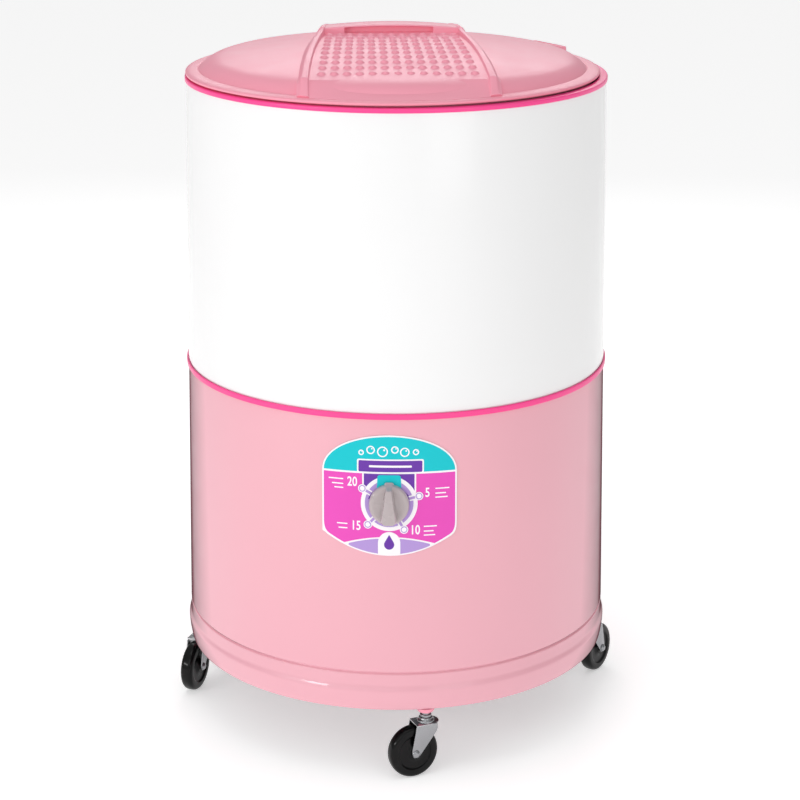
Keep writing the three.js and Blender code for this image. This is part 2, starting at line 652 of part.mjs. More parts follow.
// Bent bracket: a raised shelf on two legs with feet on the base frame.
function motorBracket() {
  const foot = FRAME_Z + FRAME_THICK + GAP;
  const shelf = MOTOR_LOW_Z - GAP;
  const outline = [
    [-84, foot], [-64, foot], [-64, shelf - 3], [64, shelf - 3], [64, foot], [84, foot],
    [84, foot + 3], [67, foot + 3], [67, shelf], [-67, shelf], [-67, foot + 3], [-84, foot + 3],
  ];
  return extrude(outline, 56).rotateX(Math.PI / 2).translate(0, 28, 0)
    .rotateZ(Math.PI / 2)
    .translate(0, MOTOR_DISTANCE, 0);
}

function motorBody() {
  const shell = lathe([
    [0, MOTOR_LOW_Z], [48, MOTOR_LOW_Z], [50, MOTOR_LOW_Z + 14], [MOTOR_R - 4, MOTOR_LOW_Z + 20],
    [MOTOR_R, MOTOR_LOW_Z + 22], [MOTOR_R, MOTOR_HIGH_Z - 22], [MOTOR_R - 4, MOTOR_HIGH_Z - 20],
    [50, MOTOR_HIGH_Z - 14], [46, MOTOR_HIGH_Z], [16, MOTOR_HIGH_Z], [14, MOTOR_HIGH_Z + 8],
    [0, MOTOR_HIGH_Z + 8],
  ], FINE_SEGMENTS);
  return cut(shell, disc(MOTOR_SHAFT_R + RUN, MOTOR_LOW_Z + 40, MOTOR_HIGH_Z + 20));
}

const atMotor = (geometry) => geometry.translate(0, MOTOR_DISTANCE, 0);

add(chassis, 'base_frame', baseFrame(), darkSteel);
add(chassis, 'motor_bracket', motorBracket(), darkSteel);
add(chassis, 'motor_body', atMotor(motorBody()), motorPaint);
add(chassis, 'motor_shaft', atMotor(disc(MOTOR_SHAFT_R, MOTOR_LOW_Z + 44, PULLEY_Z + 18)), zincSteel);
add(chassis, 'motor_pulley', atMotor(pulley(MOTOR_PITCH_R, MOTOR_SHAFT_R + GAP)), castAluminium);
add(chassis, 'drive_belt', driveBelt(), blackRubber);
add(chassis, 'capacitor', lathe([
  [0, FRAME_Z + FRAME_THICK + GAP], [19, FRAME_Z + FRAME_THICK + GAP], [19, 176], [16, 179], [0, 180],
]).translate(120, 0, 0), zincSteel);

// ---------------------------------------------------------------- casters

function casterSocket() {
  return lathe([
    [STEM_R + GAP, 79], [7.4, 79], [10.2, 80.6], [11.2, 83], [11.2, SKIRT_BOTTOM_Z - GAP],
    [SOCKET_R, SKIRT_BOTTOM_Z - GAP], [SOCKET_R, 124], [STEM_R + GAP, 124],
  ], TINY_SEGMENTS);
}

// Pressed fork: top plate rounded over the stem, two tapering cheeks, and a swivel boss.
function casterFork() {
  const plateOutline = [
    [-FORK_HALF_WIDTH, -CASTER_TRAIL + 1], [FORK_HALF_WIDTH, -CASTER_TRAIL + 1],
    ...arcPoints(0, FORK_NOSE, FORK_HALF_WIDTH, 0, 180, 7),
  ];
  const plate = extrude(plateOutline, FORK_SHEET).translate(0, 0, FORK_TOP_Z - FORK_SHEET);
  const cheekOutline = [
    [CHEEK_FRONT, FORK_TOP_Z - 0.4], [-CASTER_TRAIL + 1, FORK_TOP_Z - 0.4],
    [-CASTER_TRAIL - 5.6, WHEEL_R + 3],
    ...arcPoints(-CASTER_TRAIL, WHEEL_R, 6, 170, 330, 5), [CHEEK_FRONT, FORK_TOP_Z - 9],
  ];
  const axleHole = circle(-CASTER_TRAIL, WHEEL_R, AXLE_R + GAP, TINY_SEGMENTS);
  const cheek = (x) => standUpright(extrude(cheekOutline, FORK_SHEET, [axleHole]), x);
  const boss = lathe([
    [0, FORK_TOP_Z - 1], [10.5, FORK_TOP_Z - 1], [9.5, 71], [7.5, 73], [0, 73],
  ], TINY_SEGMENTS);
  return cut(
    join(plate, cheek(-FORK_HALF_WIDTH), cheek(FORK_HALF_WIDTH - FORK_SHEET), boss),
    disc(STEM_R + GAP, FORK_TOP_Z + 1.5, 80, TINY_SEGMENTS),
  );
}

function casterStem() {
  return lathe([[0, FORK_TOP_Z + 2], [STEM_R, FORK_TOP_Z + 2], [STEM_R, 73.4], [7, 73.4], [7, 76],
    [STEM_R, 76], [STEM_R, 119], [STEM_R - 1, 121], [0, 121]], TINY_SEGMENTS);
}

function casterAxle() {
  const head = FORK_HALF_WIDTH + GAP;
  return pointSideways(lathe([
    [0, -head - 2.6], [3, -head - 2], [4.6, -head], [AXLE_R, -head], [AXLE_R, head], [4.6, head],
    [3, head + 2], [0, head + 2.6],
  ], TINY_SEGMENTS)).translate(0, -CASTER_TRAIL, WHEEL_R);
}

function casterWheel() {
  const w = WHEEL_HALF_WIDTH;
  return pointSideways(lathe([
    [AXLE_R + GAP, -w - 0.6], [8, -w - 0.6], [22, -w + 1.6], [24, -w], [28.6, -w],
    [WHEEL_R, -w + 3.4], [WHEEL_R, w - 3.4], [28.6, w], [24, w], [22, w - 1.6],
    [8, w + 0.6], [AXLE_R + GAP, w + 0.6],
  ], 20)).translate(0, -CASTER_TRAIL, WHEEL_R);
}

CASTERS.forEach(({ place, turnDeg, trailDeg }) => {
  const angle = rad(CHASSIS_TURN_DEG + turnDeg);
  const x = STEM_CIRCLE_R * Math.sin(angle);
  const y = -STEM_CIRCLE_R * Math.cos(angle);
  const caster = addGroup(washer, trailDeg, x, y);
  add(caster, `caster_socket_${place}`, casterSocket(), pinkPlastic);
  add(caster, `caster_fork_${place}`, casterFork(), zincSteel);
  add(caster, `caster_stem_${place}`, casterStem(), zincSteel);
  add(caster, `caster_axle_${place}`, casterAxle(), zincSteel);
  add(caster, `caster_wheel_${place}`, casterWheel(), blackRubber);
});

// ---------------------------------------------------------------- drain

function drainGrate() {
  const top = TUB_FLOOR_Z + SHEET + GAP;
  return lathe([
    [12.6, TUB_FLOOR_Z - 3], [15, TUB_FLOOR_Z - 3], [15, top], [24, top], [24, top + 1.5],
    [20, top + 3.5], [0, top + 4.5], [0, top + 2], [12.6, top + 1],
  ]);
}

function drainSpout() {
  const top = TUB_FLOOR_Z - GAP;
  return lathe([
    [7.5, top - 26], [SPOUT_R, top - 26], [SPOUT_R, top - 6], [28, top - 4], [28, top],
    [15.4, top], [15.4, top - 3.4], [7.5, top - 5],
  ]);
}

function innerHose() {
  return sweep([
    [0, DRAIN_R, 390], [0, DRAIN_R, 350], [0, DRAIN_R, 250], [0, DRAIN_R + 4, 200],
    [0, DRAIN_R + 22, 168], [0, 250, HOSE_EXIT_Z], [0, 282, HOSE_EXIT_Z],
  ], HOSE_R, 14, HOSE_BORE_R);
}

// Outside hose: up from its elbow, over a crook, and a short way down again.
function outerHose() {
  const crook = 26;
  const top = arcPoints(crook, HOSE_TOP_Z, crook, 150, 0, 5)
    .map(([x, z]) => [x, HOSE_PLANE_Y, z]);
  return sweep([
    [0, 283, HOSE_EXIT_Z], [0, 290, HOSE_EXIT_Z], [0, 299, HOSE_EXIT_Z + 6],
    [0, HOSE_PLANE_Y, HOSE_EXIT_Z + 22], [0, HOSE_PLANE_Y, 300], [0, HOSE_PLANE_Y, 500],
    [0, HOSE_PLANE_Y, 700], [0, HOSE_PLANE_Y, HOSE_TOP_Z], ...top,
    [2 * crook, HOSE_PLANE_Y, HOSE_TOP_Z - 40],
  ], HOSE_R, 26, HOSE_BORE_R);
}

// Clip on the tub wall, open towards the side the hose swings to.
function hoseClip() {
  const inner = HOSE_R + 1;
  const outer = inner + 3;
  const back = TUB_R + 1 - HOSE_PLANE_Y;
  const outline = [
    [12, inner], [12, outer], [-outer, outer], [-outer, back], [outer, back], [outer, back + 4],
    [12, back + 5], [12, -inner], [-inner, -inner], [-inner, inner],
  ];
  return extrude(outline, 24).translate(0, HOSE_PLANE_Y, HOSE_CLIP_Z);
}

function grommet(boreR, holeR, flangeR) {
  return pointBack(lathe([
    [boreR, 267.5], [flangeR, 267.5], [flangeR, 270.5], [holeR - GAP, 270.5], [holeR - GAP, 275],
    [flangeR, 275], [flangeR, 277.6], [boreR, 277.6],
  ]));
}

const atDrain = (geometry) => geometry.translate(0, DRAIN_R, 0);

add(hoseGroup, 'drain_grate', atDrain(drainGrate()), whitePlastic);
add(hoseGroup, 'drain_spout', atDrain(drainSpout()), blackPlastic);
add(hoseGroup, 'hose_clamp', atDrain(tube(HOSE_R + 2.4, HOSE_R + 1, 376, 384)), zincSteel);
const hoseGrommet = grommet(HOSE_R + 1, 17.5, 21).translate(0, 0, HOSE_EXIT_Z);
add(hoseGroup, 'hose_grommet', hoseGrommet, blackRubber);
add(hoseGroup, 'inner_hose', innerHose(), greyHose);
add(hoseGroup, 'drain_hose', outerHose(), greyHose);
add(hoseGroup, 'hose_clip', hoseClip(), whitePlastic);

// ---------------------------------------------------------------- power cord

// The cord leaves the skirt and is wound into a hanging bundle of three oval turns.
function powerCord() {
  const turns = 3;
  const stepsPerTurn = 16;
  const coilZ = 300;
  const points = [[0, 262, CORD_EXIT_Z], [0, 280, CORD_EXIT_Z], [8, 288, CORD_EXIT_Z + 14]];
  for (let i = 2; i <= turns * stepsPerTurn; i += 1) {
    const angle = -Math.PI / 2 + (2 * Math.PI * i) / stepsPerTurn;
    const y = 290 + (COIL_PITCH * i) / stepsPerTurn;
    points.push([COIL_HALF_WIDTH * Math.cos(angle), y, coilZ + COIL_HALF_HEIGHT * Math.sin(angle)]);
  }
  points.push([-2, 326, 192], [-20, 328, 176], [-24, 328, 150]);
  return sweep(points, CORD_R, 70, 0, 6);
}

function cordHook() {
  const arm = extrude([
    [275.2, 390], [330, 390], [330, 406], [326, 406], [326, 394.6], [275.2, 394.6],
  ], 14);
  const pad = new THREE.BoxGeometry(34, 2.6, 30).translate(0, 276.6, 392);
  return join(pad, standUpright(arm, -7));
}

function plug() {
  const body = lathe([[CORD_R + GAP, -2], [6, -2], [9, 10], [15, 20], [15, 38], [0, 38], [0, 8],
    [CORD_R + GAP, 8]], 20);
  const pin = (x) => new THREE.BoxGeometry(1.6, 6.4, 18).translate(x, 0, 46);
  return join(body, pin(-6.5), pin(6.5)).rotateX(Math.PI).translate(-24, 328, 151);
}

add(cordGroup, 'power_cord', powerCord(), blackRubber);
const cordGrommet = grommet(CORD_R + 1.6, 9.5, 12).translate(0, 0, CORD_EXIT_Z);
add(cordGroup, 'cord_grommet', cordGrommet, blackPlastic);
add(cordGroup, 'cord_hook', cordHook(), whitePlastic);
add(cordGroup, 'plug', plug(), blackPlastic);

export default washer;
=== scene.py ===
from math import asin, cos, hypot, pi, radians, sin, sqrt, tau

import bmesh
import bpy
from mathutils import Matrix, Vector


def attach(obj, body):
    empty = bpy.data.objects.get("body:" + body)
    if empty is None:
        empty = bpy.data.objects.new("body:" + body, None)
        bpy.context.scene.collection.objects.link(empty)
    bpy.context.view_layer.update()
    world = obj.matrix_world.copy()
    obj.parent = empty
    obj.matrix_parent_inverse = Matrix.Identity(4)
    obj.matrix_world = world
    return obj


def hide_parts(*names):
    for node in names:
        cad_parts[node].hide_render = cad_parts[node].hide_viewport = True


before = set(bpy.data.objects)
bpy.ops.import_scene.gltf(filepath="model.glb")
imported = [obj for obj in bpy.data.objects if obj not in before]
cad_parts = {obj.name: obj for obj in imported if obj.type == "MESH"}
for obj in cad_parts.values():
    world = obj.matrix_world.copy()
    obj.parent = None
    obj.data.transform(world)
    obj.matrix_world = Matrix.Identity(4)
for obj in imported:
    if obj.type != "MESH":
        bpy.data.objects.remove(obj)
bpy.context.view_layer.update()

# ---------------------------------------------------------------- dimensions

MM = 0.001
RING = 192                 # sides of the big rings
ROUND = 48                 # sides of shafts, wheels and knobs
CORNER_STEPS = 4           # pieces in each rounded corner
SHARP_DEG = 42             # edges steeper than this stay crisp

FOOT_Z = 85.6              # lower edge of the skirt
TUB_R = 275
TUB_FLOOR_Z = 404
WAIST_Z = 453.3
WAIST_TOP_Z = 460.6
RIM_Z = 828.8
RIM_TOP_Z = 834.6
TRIM_R = 277.3
RIM_TRIM_R = 276.6
SHEET_GAP = 0.3            # left between neighbouring pieces

LID_SHIFT_X = -4.7
LID_TURN_DEG = 2.2
LID_R = 271
LID_UNDER_Z = RIM_TOP_Z + SHEET_GAP
FLANGE_Z = RIM_Z + 14
EDGE_Z = RIM_Z + 10.4       # rounded outer edge of the flange
DOME_R = 225
DOME_EDGE_Z = RIM_Z + 30
DOME_RISE = 16

BOARD_FRONT_R = 264.5      # the washboard starts on this arc of the flange
CREASE_Y = -212
WALL_Y = 50
BOARD_END_Y = 238
BOARD_FLOOR_Z = RIM_Z + 48.5
BOARD_TOP_Z = RIM_Z + 57
BOARD_CROWN = 4
BOARD_SAG = 0.000367       # drop towards the front, times the square of the distance
RAIL_WIDTH = 9
BUMP_ROWS = 10
BUMP_COLUMNS = 13
BUMP_FIRST_Y = -190
BUMP_PITCH_Y = 25
BUMP_HEIGHT = 3.3
BUMP_HALF_X = 5.4
BUMP_HALF_Y = 4.9
POCKET_X = -3
POCKET_HALF_X = 59
POCKET_DEPTH = 9
TAB_HALF_LENGTH = 36
TAB_HALF_WIDTH = 5.5
TAB_RISE = 8.2             # above the flange, more than the CAD's so that it can be seen
TAB_CIRCLE_R = 257.5
TAB_TURN_DEG = -58.2

TIMER_X = -8.5
TIMER_Y = -274.47
TIMER_Z = 349
TIMER_TURN_DEG = -1.774
KNOB_R = 24.5
LABEL_R = 275.6            # outside of the label plate
LABEL_HALF_WIDTH = 82
LABEL_FOOT_Z = 310         # where the sides end below
LABEL_SAG = 27             # of the curved foot
LABEL_SHOULDER_Z = 388     # where the sides end above
LABEL_DOME = 46            # rise of the top over the shoulders
LAYER = 0.12               # thickness of one printed layer

CHASSIS_TURN_DEG = 7.9
STEM_CIRCLE_R = 264
WHEEL_R = 31.75
TRAIL = 17.5
FORK_TOP_Z = 67.5
FORK_HALF = 12.2
FORK_NOSE = 4.5
FORK_SHEET = 2
CHEEK_FRONT = 11.5
PIN_R = 3
PIN_HEAD_R = 4.8
STEM_R = 5
SOCKET_R = 7
SOCKET_TOP_Z = 124

HOSE_TURN_DEG = -24
HOSE_PLANE_Y = 301
HOSE_TOP_Z = 752           # where the hose begins to bend over
HOSE_CROOK_R = 26
HOSE_LENGTH = 694
HOSE_CUFF = 14             # smooth end below; the upper one is longer
HOSE_R = 13.9
HOSE_BORE_R = 10.5
RIB_PITCH = 5
RIB_DEPTH = 1.5
DRAIN_R = 206              # drain hole from the tub's axis
CORD_TURN_DEG = 36
CORD_R = 3.6
COIL_TURNS = 3
COIL_HALF_WIDTH = 46
COIL_HALF_HEIGHT = 105
COIL_START_Y = 290         # each turn of the coil lies further out than the one before
COIL_MIDDLE_Z = 300
COIL_PITCH = 9
PLUG_Y = 328
PLUG_X = -24
SIDE_Z = 158               # height of the hose and cord outlets

IMPELLER_R = 165
IMPELLER_Z = TUB_FLOOR_Z + 10
SHAFT_R = 8
MOTOR_SHAFT_R = 6
MOTOR_DISTANCE = 165       # from the tub's axis to the motor's
MOTOR_R = 62
MOTOR_FINS = 24
PULLEY_LOW_Z = 302
PULLEY_HIGH_Z = 318
DRIVEN_PITCH_R = 84
MOTOR_PITCH_R = 24


# ---------------------------------------------------------------- materials

def linear(hex_colour):
    """A #rrggbb colour as linear red, green, blue and alpha."""
    out = []
    for shift in (16, 8, 0):
        level = ((hex_colour >> shift) & 255) / 255
        out.append(level / 12.92 if level <= 0.04045 else ((level + 0.055) / 1.055) ** 2.4)
    return (*out, 1.0)


NOISE = (0.2, 0.8)         # the part of a noise texture's range that is used
WORN_EDGE = (0.53, 0.6)    # pointiness where wear begins and where it is full
CLOUD_SCALE = 6.0
SMEAR_SCALE = 30.0
GRAIN_DEPTH = 0.0006
DIMMED = 0.88              # how far a surface turns away before it loses all its shine
# Painted shade: the dark tint that a surface's colour is blended towards as it turns away from the
# eye.
PAINTED_SHADE_COLOUR = (0.02, 0.01, 0.01, 1.0)


def map_range(tree, source, old, new, smooth=False):
    """A socket's value carried from one range to another, and held at its ends."""
    node = tree.nodes.new("ShaderNodeMapRange")
    if smooth:
        node.interpolation_type = "SMOOTHSTEP"
    for key, value in zip(("From Min", "From Max", "To Min", "To Max"), (*old, *new)):
        node.inputs[key].default_value = value
    tree.links.new(source, node.inputs["Value"])
    return node.outputs["Result"]


def finish(name, colour, rough, metal=0.0, coat=0.0, mottle=0.04, grain=900.0, bump=0.03,
           wear=0.25, worn=None, shine=0.5, painted_shade_falloff=0.0):
    """A painted, moulded or metal surface: cloudy colour, uneven gloss, fine grain and worn edges.
    Past a given facing threshold, a painted shade darkens its colour where it turns away from the
    eye, and it loses its shine there."""
    material = bpy.data.materials.new(name)
    material.use_nodes = True
    tree = material.node_tree
    nodes = tree.nodes
    link = tree.links.new
    shader = nodes["Principled BSDF"]
    shader.inputs["Metallic"].default_value = metal
    shader.inputs["Coat Weight"].default_value = coat
    shader.inputs["Coat Roughness"].default_value = 0.06
    shader.inputs["Specular IOR Level"].default_value = shine
    place = nodes.new("ShaderNodeTexCoord")

    def noise(scale, detail):
        node = nodes.new("ShaderNodeTexNoise")
        node.inputs["Scale"].default_value = scale
        node.inputs["Detail"].default_value = detail
        link(place.outputs["Object"], node.inputs["Vector"])
        return node.outputs["Fac"]

    def blend(factor, first, second):
        node = nodes.new("ShaderNodeMix")
        node.data_type = "RGBA"
        link(factor, node.inputs["Factor"])
        for socket, value in ((node.inputs["A"], first), (node.inputs["B"], second)):
            if isinstance(value, tuple):
                socket.default_value = value
            else:
                link(value, socket)
        return node.outputs["Result"]

    base = linear(colour)
    dark = tuple(channel * (1 - mottle) for channel in base[:3]) + (1.0,)
    clouds = map_range(tree, noise(CLOUD_SCALE, 2.0), NOISE, (0.0, 1.0))
    tone = blend(clouds, base, dark)
    pointiness = nodes.new("ShaderNodeNewGeometry").outputs["Pointiness"]
    edge = map_range(tree, pointiness, WORN_EDGE, (0.0, wear))
    if worn is None:
        worn_colour = tuple(min(1.0, channel * 1.25 + 0.02) for channel in base[:3]) + (1.0,)
    else:
        worn_colour = linear(worn)
    colour_out = blend(edge, tone, worn_colour)
    if painted_shade_falloff:
        # Painted shade: the colour is blended towards a dark tint where the surface turns away from
        # the eye.
        facing = nodes.new("ShaderNodeLayerWeight").outputs["Facing"]
        painted_edge_shade = map_range(tree, facing, (painted_shade_falloff, 1.0), (0.0, 1.0))
        colour_out = blend(painted_edge_shade, colour_out, PAINTED_SHADE_COLOUR)
        for key, level in (("Specular IOR Level", shine), ("Coat Weight", coat)):
            link(map_range(tree, facing, (painted_shade_falloff - 0.15, DIMMED), (level, 0.0)),
                 shader.inputs[key])
    link(colour_out, shader.inputs["Base Color"])
    fine = noise(grain, 2.0)
    uneven = (rough * 0.88, min(1.0, rough * 1.2 + 0.01))
    link(map_range(tree, noise(SMEAR_SCALE, 3.0), NOISE, uneven), shader.inputs["Roughness"])
    dents = nodes.new("ShaderNodeBump")
    dents.inputs["Strength"].default_value = bump
    dents.inputs["Distance"].default_value = GRAIN_DEPTH
    link(fine, dents.inputs["Height"])
    link(dents.outputs["Normal"], shader.inputs["Normal"])
    return material


ENAMEL = finish("white_enamel_looks", 0xf3f3f3, 0.18, coat=0.2, mottle=0.012, grain=260, bump=0.015,
                wear=0.1)
# The pink paint is given painted shade towards its edges, where it turns away from the eye.
PAINT = finish("pink_paint_looks", 0xedacb9, 0.34, coat=0.6, mottle=0.02, grain=320, bump=0.03,
               wear=0.15, painted_shade_falloff=0.62)
TRIM = finish("hot_pink_looks", 0xff3f92, 0.36, coat=0.2, mottle=0.05, grain=700, bump=0.05,
              wear=0.3)
PLASTIC = finish("pink_plastic_looks", 0xfba5b8, 0.36, mottle=0.025, grain=1500, bump=0.06,
                 wear=0.25, shine=0.22)
KNOB_GREY = finish("grey_knob_looks", 0xb5a9aa, 0.26, coat=0.6, mottle=0.05, grain=1400, bump=0.05,
                   wear=0.35)
WHITE_PLASTIC = finish("white_plastic_looks", 0xe6e6e3, 0.42, mottle=0.05, grain=1200, bump=0.08,
                       wear=0.2)
BLACK_PLASTIC = finish("black_plastic_looks", 0x19191b, 0.42, mottle=0.2, grain=1400, bump=0.12,
                       wear=0.4)
RUBBER = finish("black_rubber_looks", 0x020203, 0.3, coat=0.25, mottle=0.3, grain=800, bump=0.12,
                wear=0.1, worn=0x1a1a1c, shine=0.1)
ZINC = finish("zinc_steel_looks", 0xa9abae, 0.24, metal=1.0, mottle=0.25, grain=500, bump=0.08,
              wear=0.6, worn=0xe4e5e6)
DARK_STEEL = finish("dark_steel_looks", 0x6e7276, 0.42, metal=1.0, mottle=0.3, grain=420, bump=0.2,
                    wear=0.6)
ALUMINIUM = finish("cast_aluminium_looks", 0xa9adb0, 0.5, metal=1.0, mottle=0.2, grain=300,
                   bump=0.4, wear=0.6)
BRONZE = finish("bronze_bush_looks", 0xb08d4a, 0.38, metal=1.0, mottle=0.25, grain=600, bump=0.12,
                wear=0.5)
MOTOR = finish("motor_paint_looks", 0x30343a, 0.5, mottle=0.2, grain=500, bump=0.25, wear=0.7,
               worn=0x70757a)
HOSE = finish("grey_hose_looks", 0xa7abb0, 0.5, mottle=0.1, grain=700, bump=0.12, wear=0.3)


def print_ink(name, colour):
    return finish(name, colour, 0.36, mottle=0.03, grain=1800, bump=0.03, wear=0.0, shine=0.15)


INK_WHITE = print_ink("ink_white", 0xfbf7fa)
INK_TEAL = print_ink("ink_teal", 0x1cc7d0)
INK_MAGENTA = print_ink("ink_magenta", 0xea55bd)
INK_PURPLE = print_ink("ink_purple", 0x6f3fa8)
INK_LAVENDER = print_ink("ink_lavender", 0xb79ad9)


# ---------------------------------------------------------------- mesh helpers

def piece(name, shapes, body, material, replaces=(), sharp_deg=SHARP_DEG):
    """One mesh on a CAD body, made of closed shapes: pairs of millimetre vertices and faces."""
    vertices = []
    faces = []
    for shape_vertices, shape_faces in shapes:
        start = len(vertices)
        vertices += [Vector(v) * MM for v in shape_vertices]
        faces += [[start + i for i in face] for face in shape_faces]
    mesh = bpy.data.meshes.new(name)
    mesh.from_pydata(vertices, [], faces)
    work = bmesh.new()
    work.from_mesh(mesh)
    bmesh.ops.recalc_face_normals(work, faces=work.faces[:])
    work.to_mesh(mesh)
    work.free()
    mesh.shade_smooth()
    mesh.set_sharp_from_angle(angle=radians(sharp_deg))
    mesh.materials.append(material)
    made = bpy.data.objects.new(name, mesh)
    bpy.context.scene.collection.objects.link(made)
    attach(made, body)
    if replaces:
        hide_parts(*replaces)
    return made


def soft(outline, closed=True):
    """The outline with a short curve at each corner that carries a third number, its radius."""
    out = []
    count = len(outline)
    for i, point in enumerate(outline):
        corner = Vector(point[:2])
        size = point[2] if len(point) > 2 else 0
        at_end = not closed and i in (0, count - 1)
        if size == 0 or at_end:
            out.append(tuple(corner))
            continue
        before = Vector(outline[i - 1][:2]) - corner
        after = Vector(outline[(i + 1) % count][:2]) - corner
        start = corner + before.normalized() * min(size, 0.48 * before.length)
        end = corner + after.normalized() * min(size, 0.48 * after.length)
        for step in range(CORNER_STEPS + 1):
            t = step / CORNER_STEPS
            out.append(tuple(start * (1 - t) ** 2 + corner * 2 * t * (1 - t) + end * t * t))
    return out


def bridge(rings, wrap=False):
    """Faces between neighbouring rings of equal length; a ring of one point closes to it."""
    faces = []
    pairs = list(zip(rings, rings[1:]))
    if wrap:
        pairs.append((rings[-1], rings[0]))
    for low, high in pairs:
        count = max(len(low), len(high))
        if count == 1:
            continue
        for i in range(count):
            j = (i + 1) % count
            if len(low) == 1:
                faces.append((low[0], high[j], high[i]))
            elif len(high) == 1:
                faces.append((low[i], low[j], high[0]))
            else:
                faces.append((low[i], low[j], high[j], high[i]))
    return faces


def lathe(outline, sides=ROUND):
    """A (radius, z) outline revolved about Z. It closes on itself, or on the axis."""
    vertices = []
    rings = []
    profile = soft(outline, closed=outline[0][0] > 0)
    for radius, z in profile:
        start = len(vertices)
        if radius < 1e-6:
            vertices.append((0, 0, z))
        else:
            for i in range(sides):
                angle = tau * i / sides
                vertices.append((radius * cos(angle), radius * sin(angle), z))
        rings.append(list(range(start, len(vertices))))
    return vertices, bridge(rings, wrap=outline[0][0] > 0)


def loft(rings):
    """Closed skin over rings of points, with a flat face on both ends."""
    size = len(rings[0])
    vertices = [point for ring in rings for point in ring]
    indices = [list(range(i * size, (i + 1) * size)) for i in range(len(rings))]
    faces = bridge(indices)
    faces += [indices[0][::-1], indices[-1]]
    return vertices, faces


def slab(outline, low, high, edge=0.6):
    """Plate standing on z = low with rounded upper and lower edges."""
    profile = soft(outline)

    def ring(inset, z):
        points = []
        for i, point in enumerate(profile):
            here = Vector(point)
            along = Vector(profile[(i + 1) % len(profile)]) - Vector(profile[i - 1])
            normal = Vector((along.y, -along.x)).normalized()
            inner = here - normal * inset * turn
            points.append((inner.x, inner.y, z))
        return points

    area = sum(a[0] * b[1] - b[0] * a[1] for a, b in zip(profile, profile[1:] + profile[:1]))
    turn = 1 if area > 0 else -1
    return loft([
        ring(edge, low), ring(edge * 0.3, low + edge * 0.3), ring(0, low + edge),
        ring(0, high - edge), ring(edge * 0.3, high - edge * 0.3), ring(edge, high),
    ])


def rectangle(half_x, half_y, corner, cx=0, cy=0):
    return [(cx - half_x, cy - half_y, corner), (cx + half_x, cy - half_y, corner),
            (cx + half_x, cy + half_y, corner), (cx - half_x, cy + half_y, corner)]


def smooth_path(points, spacing):
    """Points about one spacing apart on a smooth curve through the given ones."""
    knots = [Vector(p) for p in points]
    knots = [knots[0] * 2 - knots[1], *knots, knots[-1] * 2 - knots[-2]]
    path = []
    for p0, p1, p2, p3 in zip(knots, knots[1:], knots[2:], knots[3:]):
        t1 = (p1 - p0).length ** 0.5
        t2 = t1 + (p2 - p1).length ** 0.5
        t3 = t2 + (p3 - p2).length ** 0.5
        steps = max(1, round((p2 - p1).length / spacing))
        for step in range(steps):
            t = t1 + (t2 - t1) * step / steps
            a1 = p0 + (p1 - p0) * (t / t1)
            a2 = p1 + (p2 - p1) * ((t - t1) / (t2 - t1))
            a3 = p2 + (p3 - p2) * ((t - t2) / (t3 - t2))
            b1 = a1 + (a2 - a1) * (t / t2)
            b2 = a2 + (a3 - a2) * ((t - t1) / (t3 - t1))
            path.append(b1 + (b2 - b1) * ((t - t1) / (t2 - t1)))
    path.append(Vector(points[-1]))
    return path


def sweep(path, radius, sides=16, bore=0):
    """A rod or tube along a path; radius is a function of the distance along it."""
    side = Vector((1, 0, 0))
    outer = []
    inner = []
    travelled = 0.0
    for i, here in enumerate(path):
        ahead = path[min(i + 1, len(path) - 1)]
        behind = path[max(i - 1, 0)]
        along = (ahead - behind).normalized()
        side = (side - along * side.dot(along)).normalized()
        up = along.cross(side)
        if i > 0:
            travelled += (here - path[i - 1]).length

        def ring(size):
            return [here + side * size * cos(tau * k / sides)
                    + up * size * sin(tau * k / sides) for k in range(sides)]

        outer.append(ring(radius(travelled)))
        if bore:
            inner.append(ring(bore))
    if not bore:
        return loft(outer)
    rings = outer + inner[::-1]
    indices = [list(range(i * sides, (i + 1) * sides)) for i in range(len(rings))]
    return [point for ring in rings for point in ring], bridge(indices, wrap=True)


def moved(shape, matrix):
    vertices, faces = shape
    return [matrix @ Vector(v) for v in vertices], faces


def turned(shape, degrees, axis="Z"):
    return moved(shape, Matrix.Rotation(radians(degrees), 4, axis))


def shifted(shape, x=0, y=0, z=0):
    return moved(shape, Matrix.Translation((x, y, z)))


def sideways(shape):
    """Turns a shape built along +Z so that it points along +X."""
    return turned(shape, 90, "Y")


def forward(shape):
    """Turns a shape built along +Z so that it points out of the front, along -Y."""
    return turned(shape, 90, "X")


def backward(shape):
    """Turns a shape built along +Z so that it points along +Y."""
    return turned(shape, -90, "X")


def upright(shape):
    """Turns a plate drawn in (y, z) with its thickness along Z so that it stands across X."""
    return moved(shape, Matrix(((0, 0, 1, 0), (1, 0, 0, 0), (0, 1, 0, 0), (0, 0, 0, 1))))


def arc(cx, cy, radius, sides, reach=tau):
    """Points round a centre, from its +X side. A full circle leaves out its last point."""
    return [(cx + radius * cos(reach * i / sides), cy + radius * sin(reach * i / sides))
            for i in range(sides if reach == tau else sides + 1)]


def smoothstep(low, high, value):
    t = min(1.0, max(0.0, (value - low) / (high - low)))
    return t * t * (3 - 2 * t)


# ---------------------------------------------------------------- skirt, tub and trims

# The shoulder over the foot band slopes so that the glint light is mirrored in it.
piece("skirt_shell", [lathe([
    (273.2, FOOT_Z, 0.7), (274.0, 87.4, 1.2), (276.4, 99, 8), (277.3, 110.4, 2.2),
    (274.7, 116.2, 2.2), (274.3, 130.6, 0.8), (272.2, 132.2, 0.4), (274.6, 134.8, 0.5),
    (274.6, WAIST_Z - SHEET_GAP, 0.3), (273.1, WAIST_Z - SHEET_GAP, 0.3), (273.1, 135.2, 0.5),
    (270.7, 132.2, 0.4), (272.8, 129.8, 0.8), (273.3, 116, 3), (275.7, 110, 3), (274.8, 99, 8),
    (272.6, 88, 1), (272.2, 86.2, 0.3),
], RING)], "cabinet", PAINT, ["skirt"])

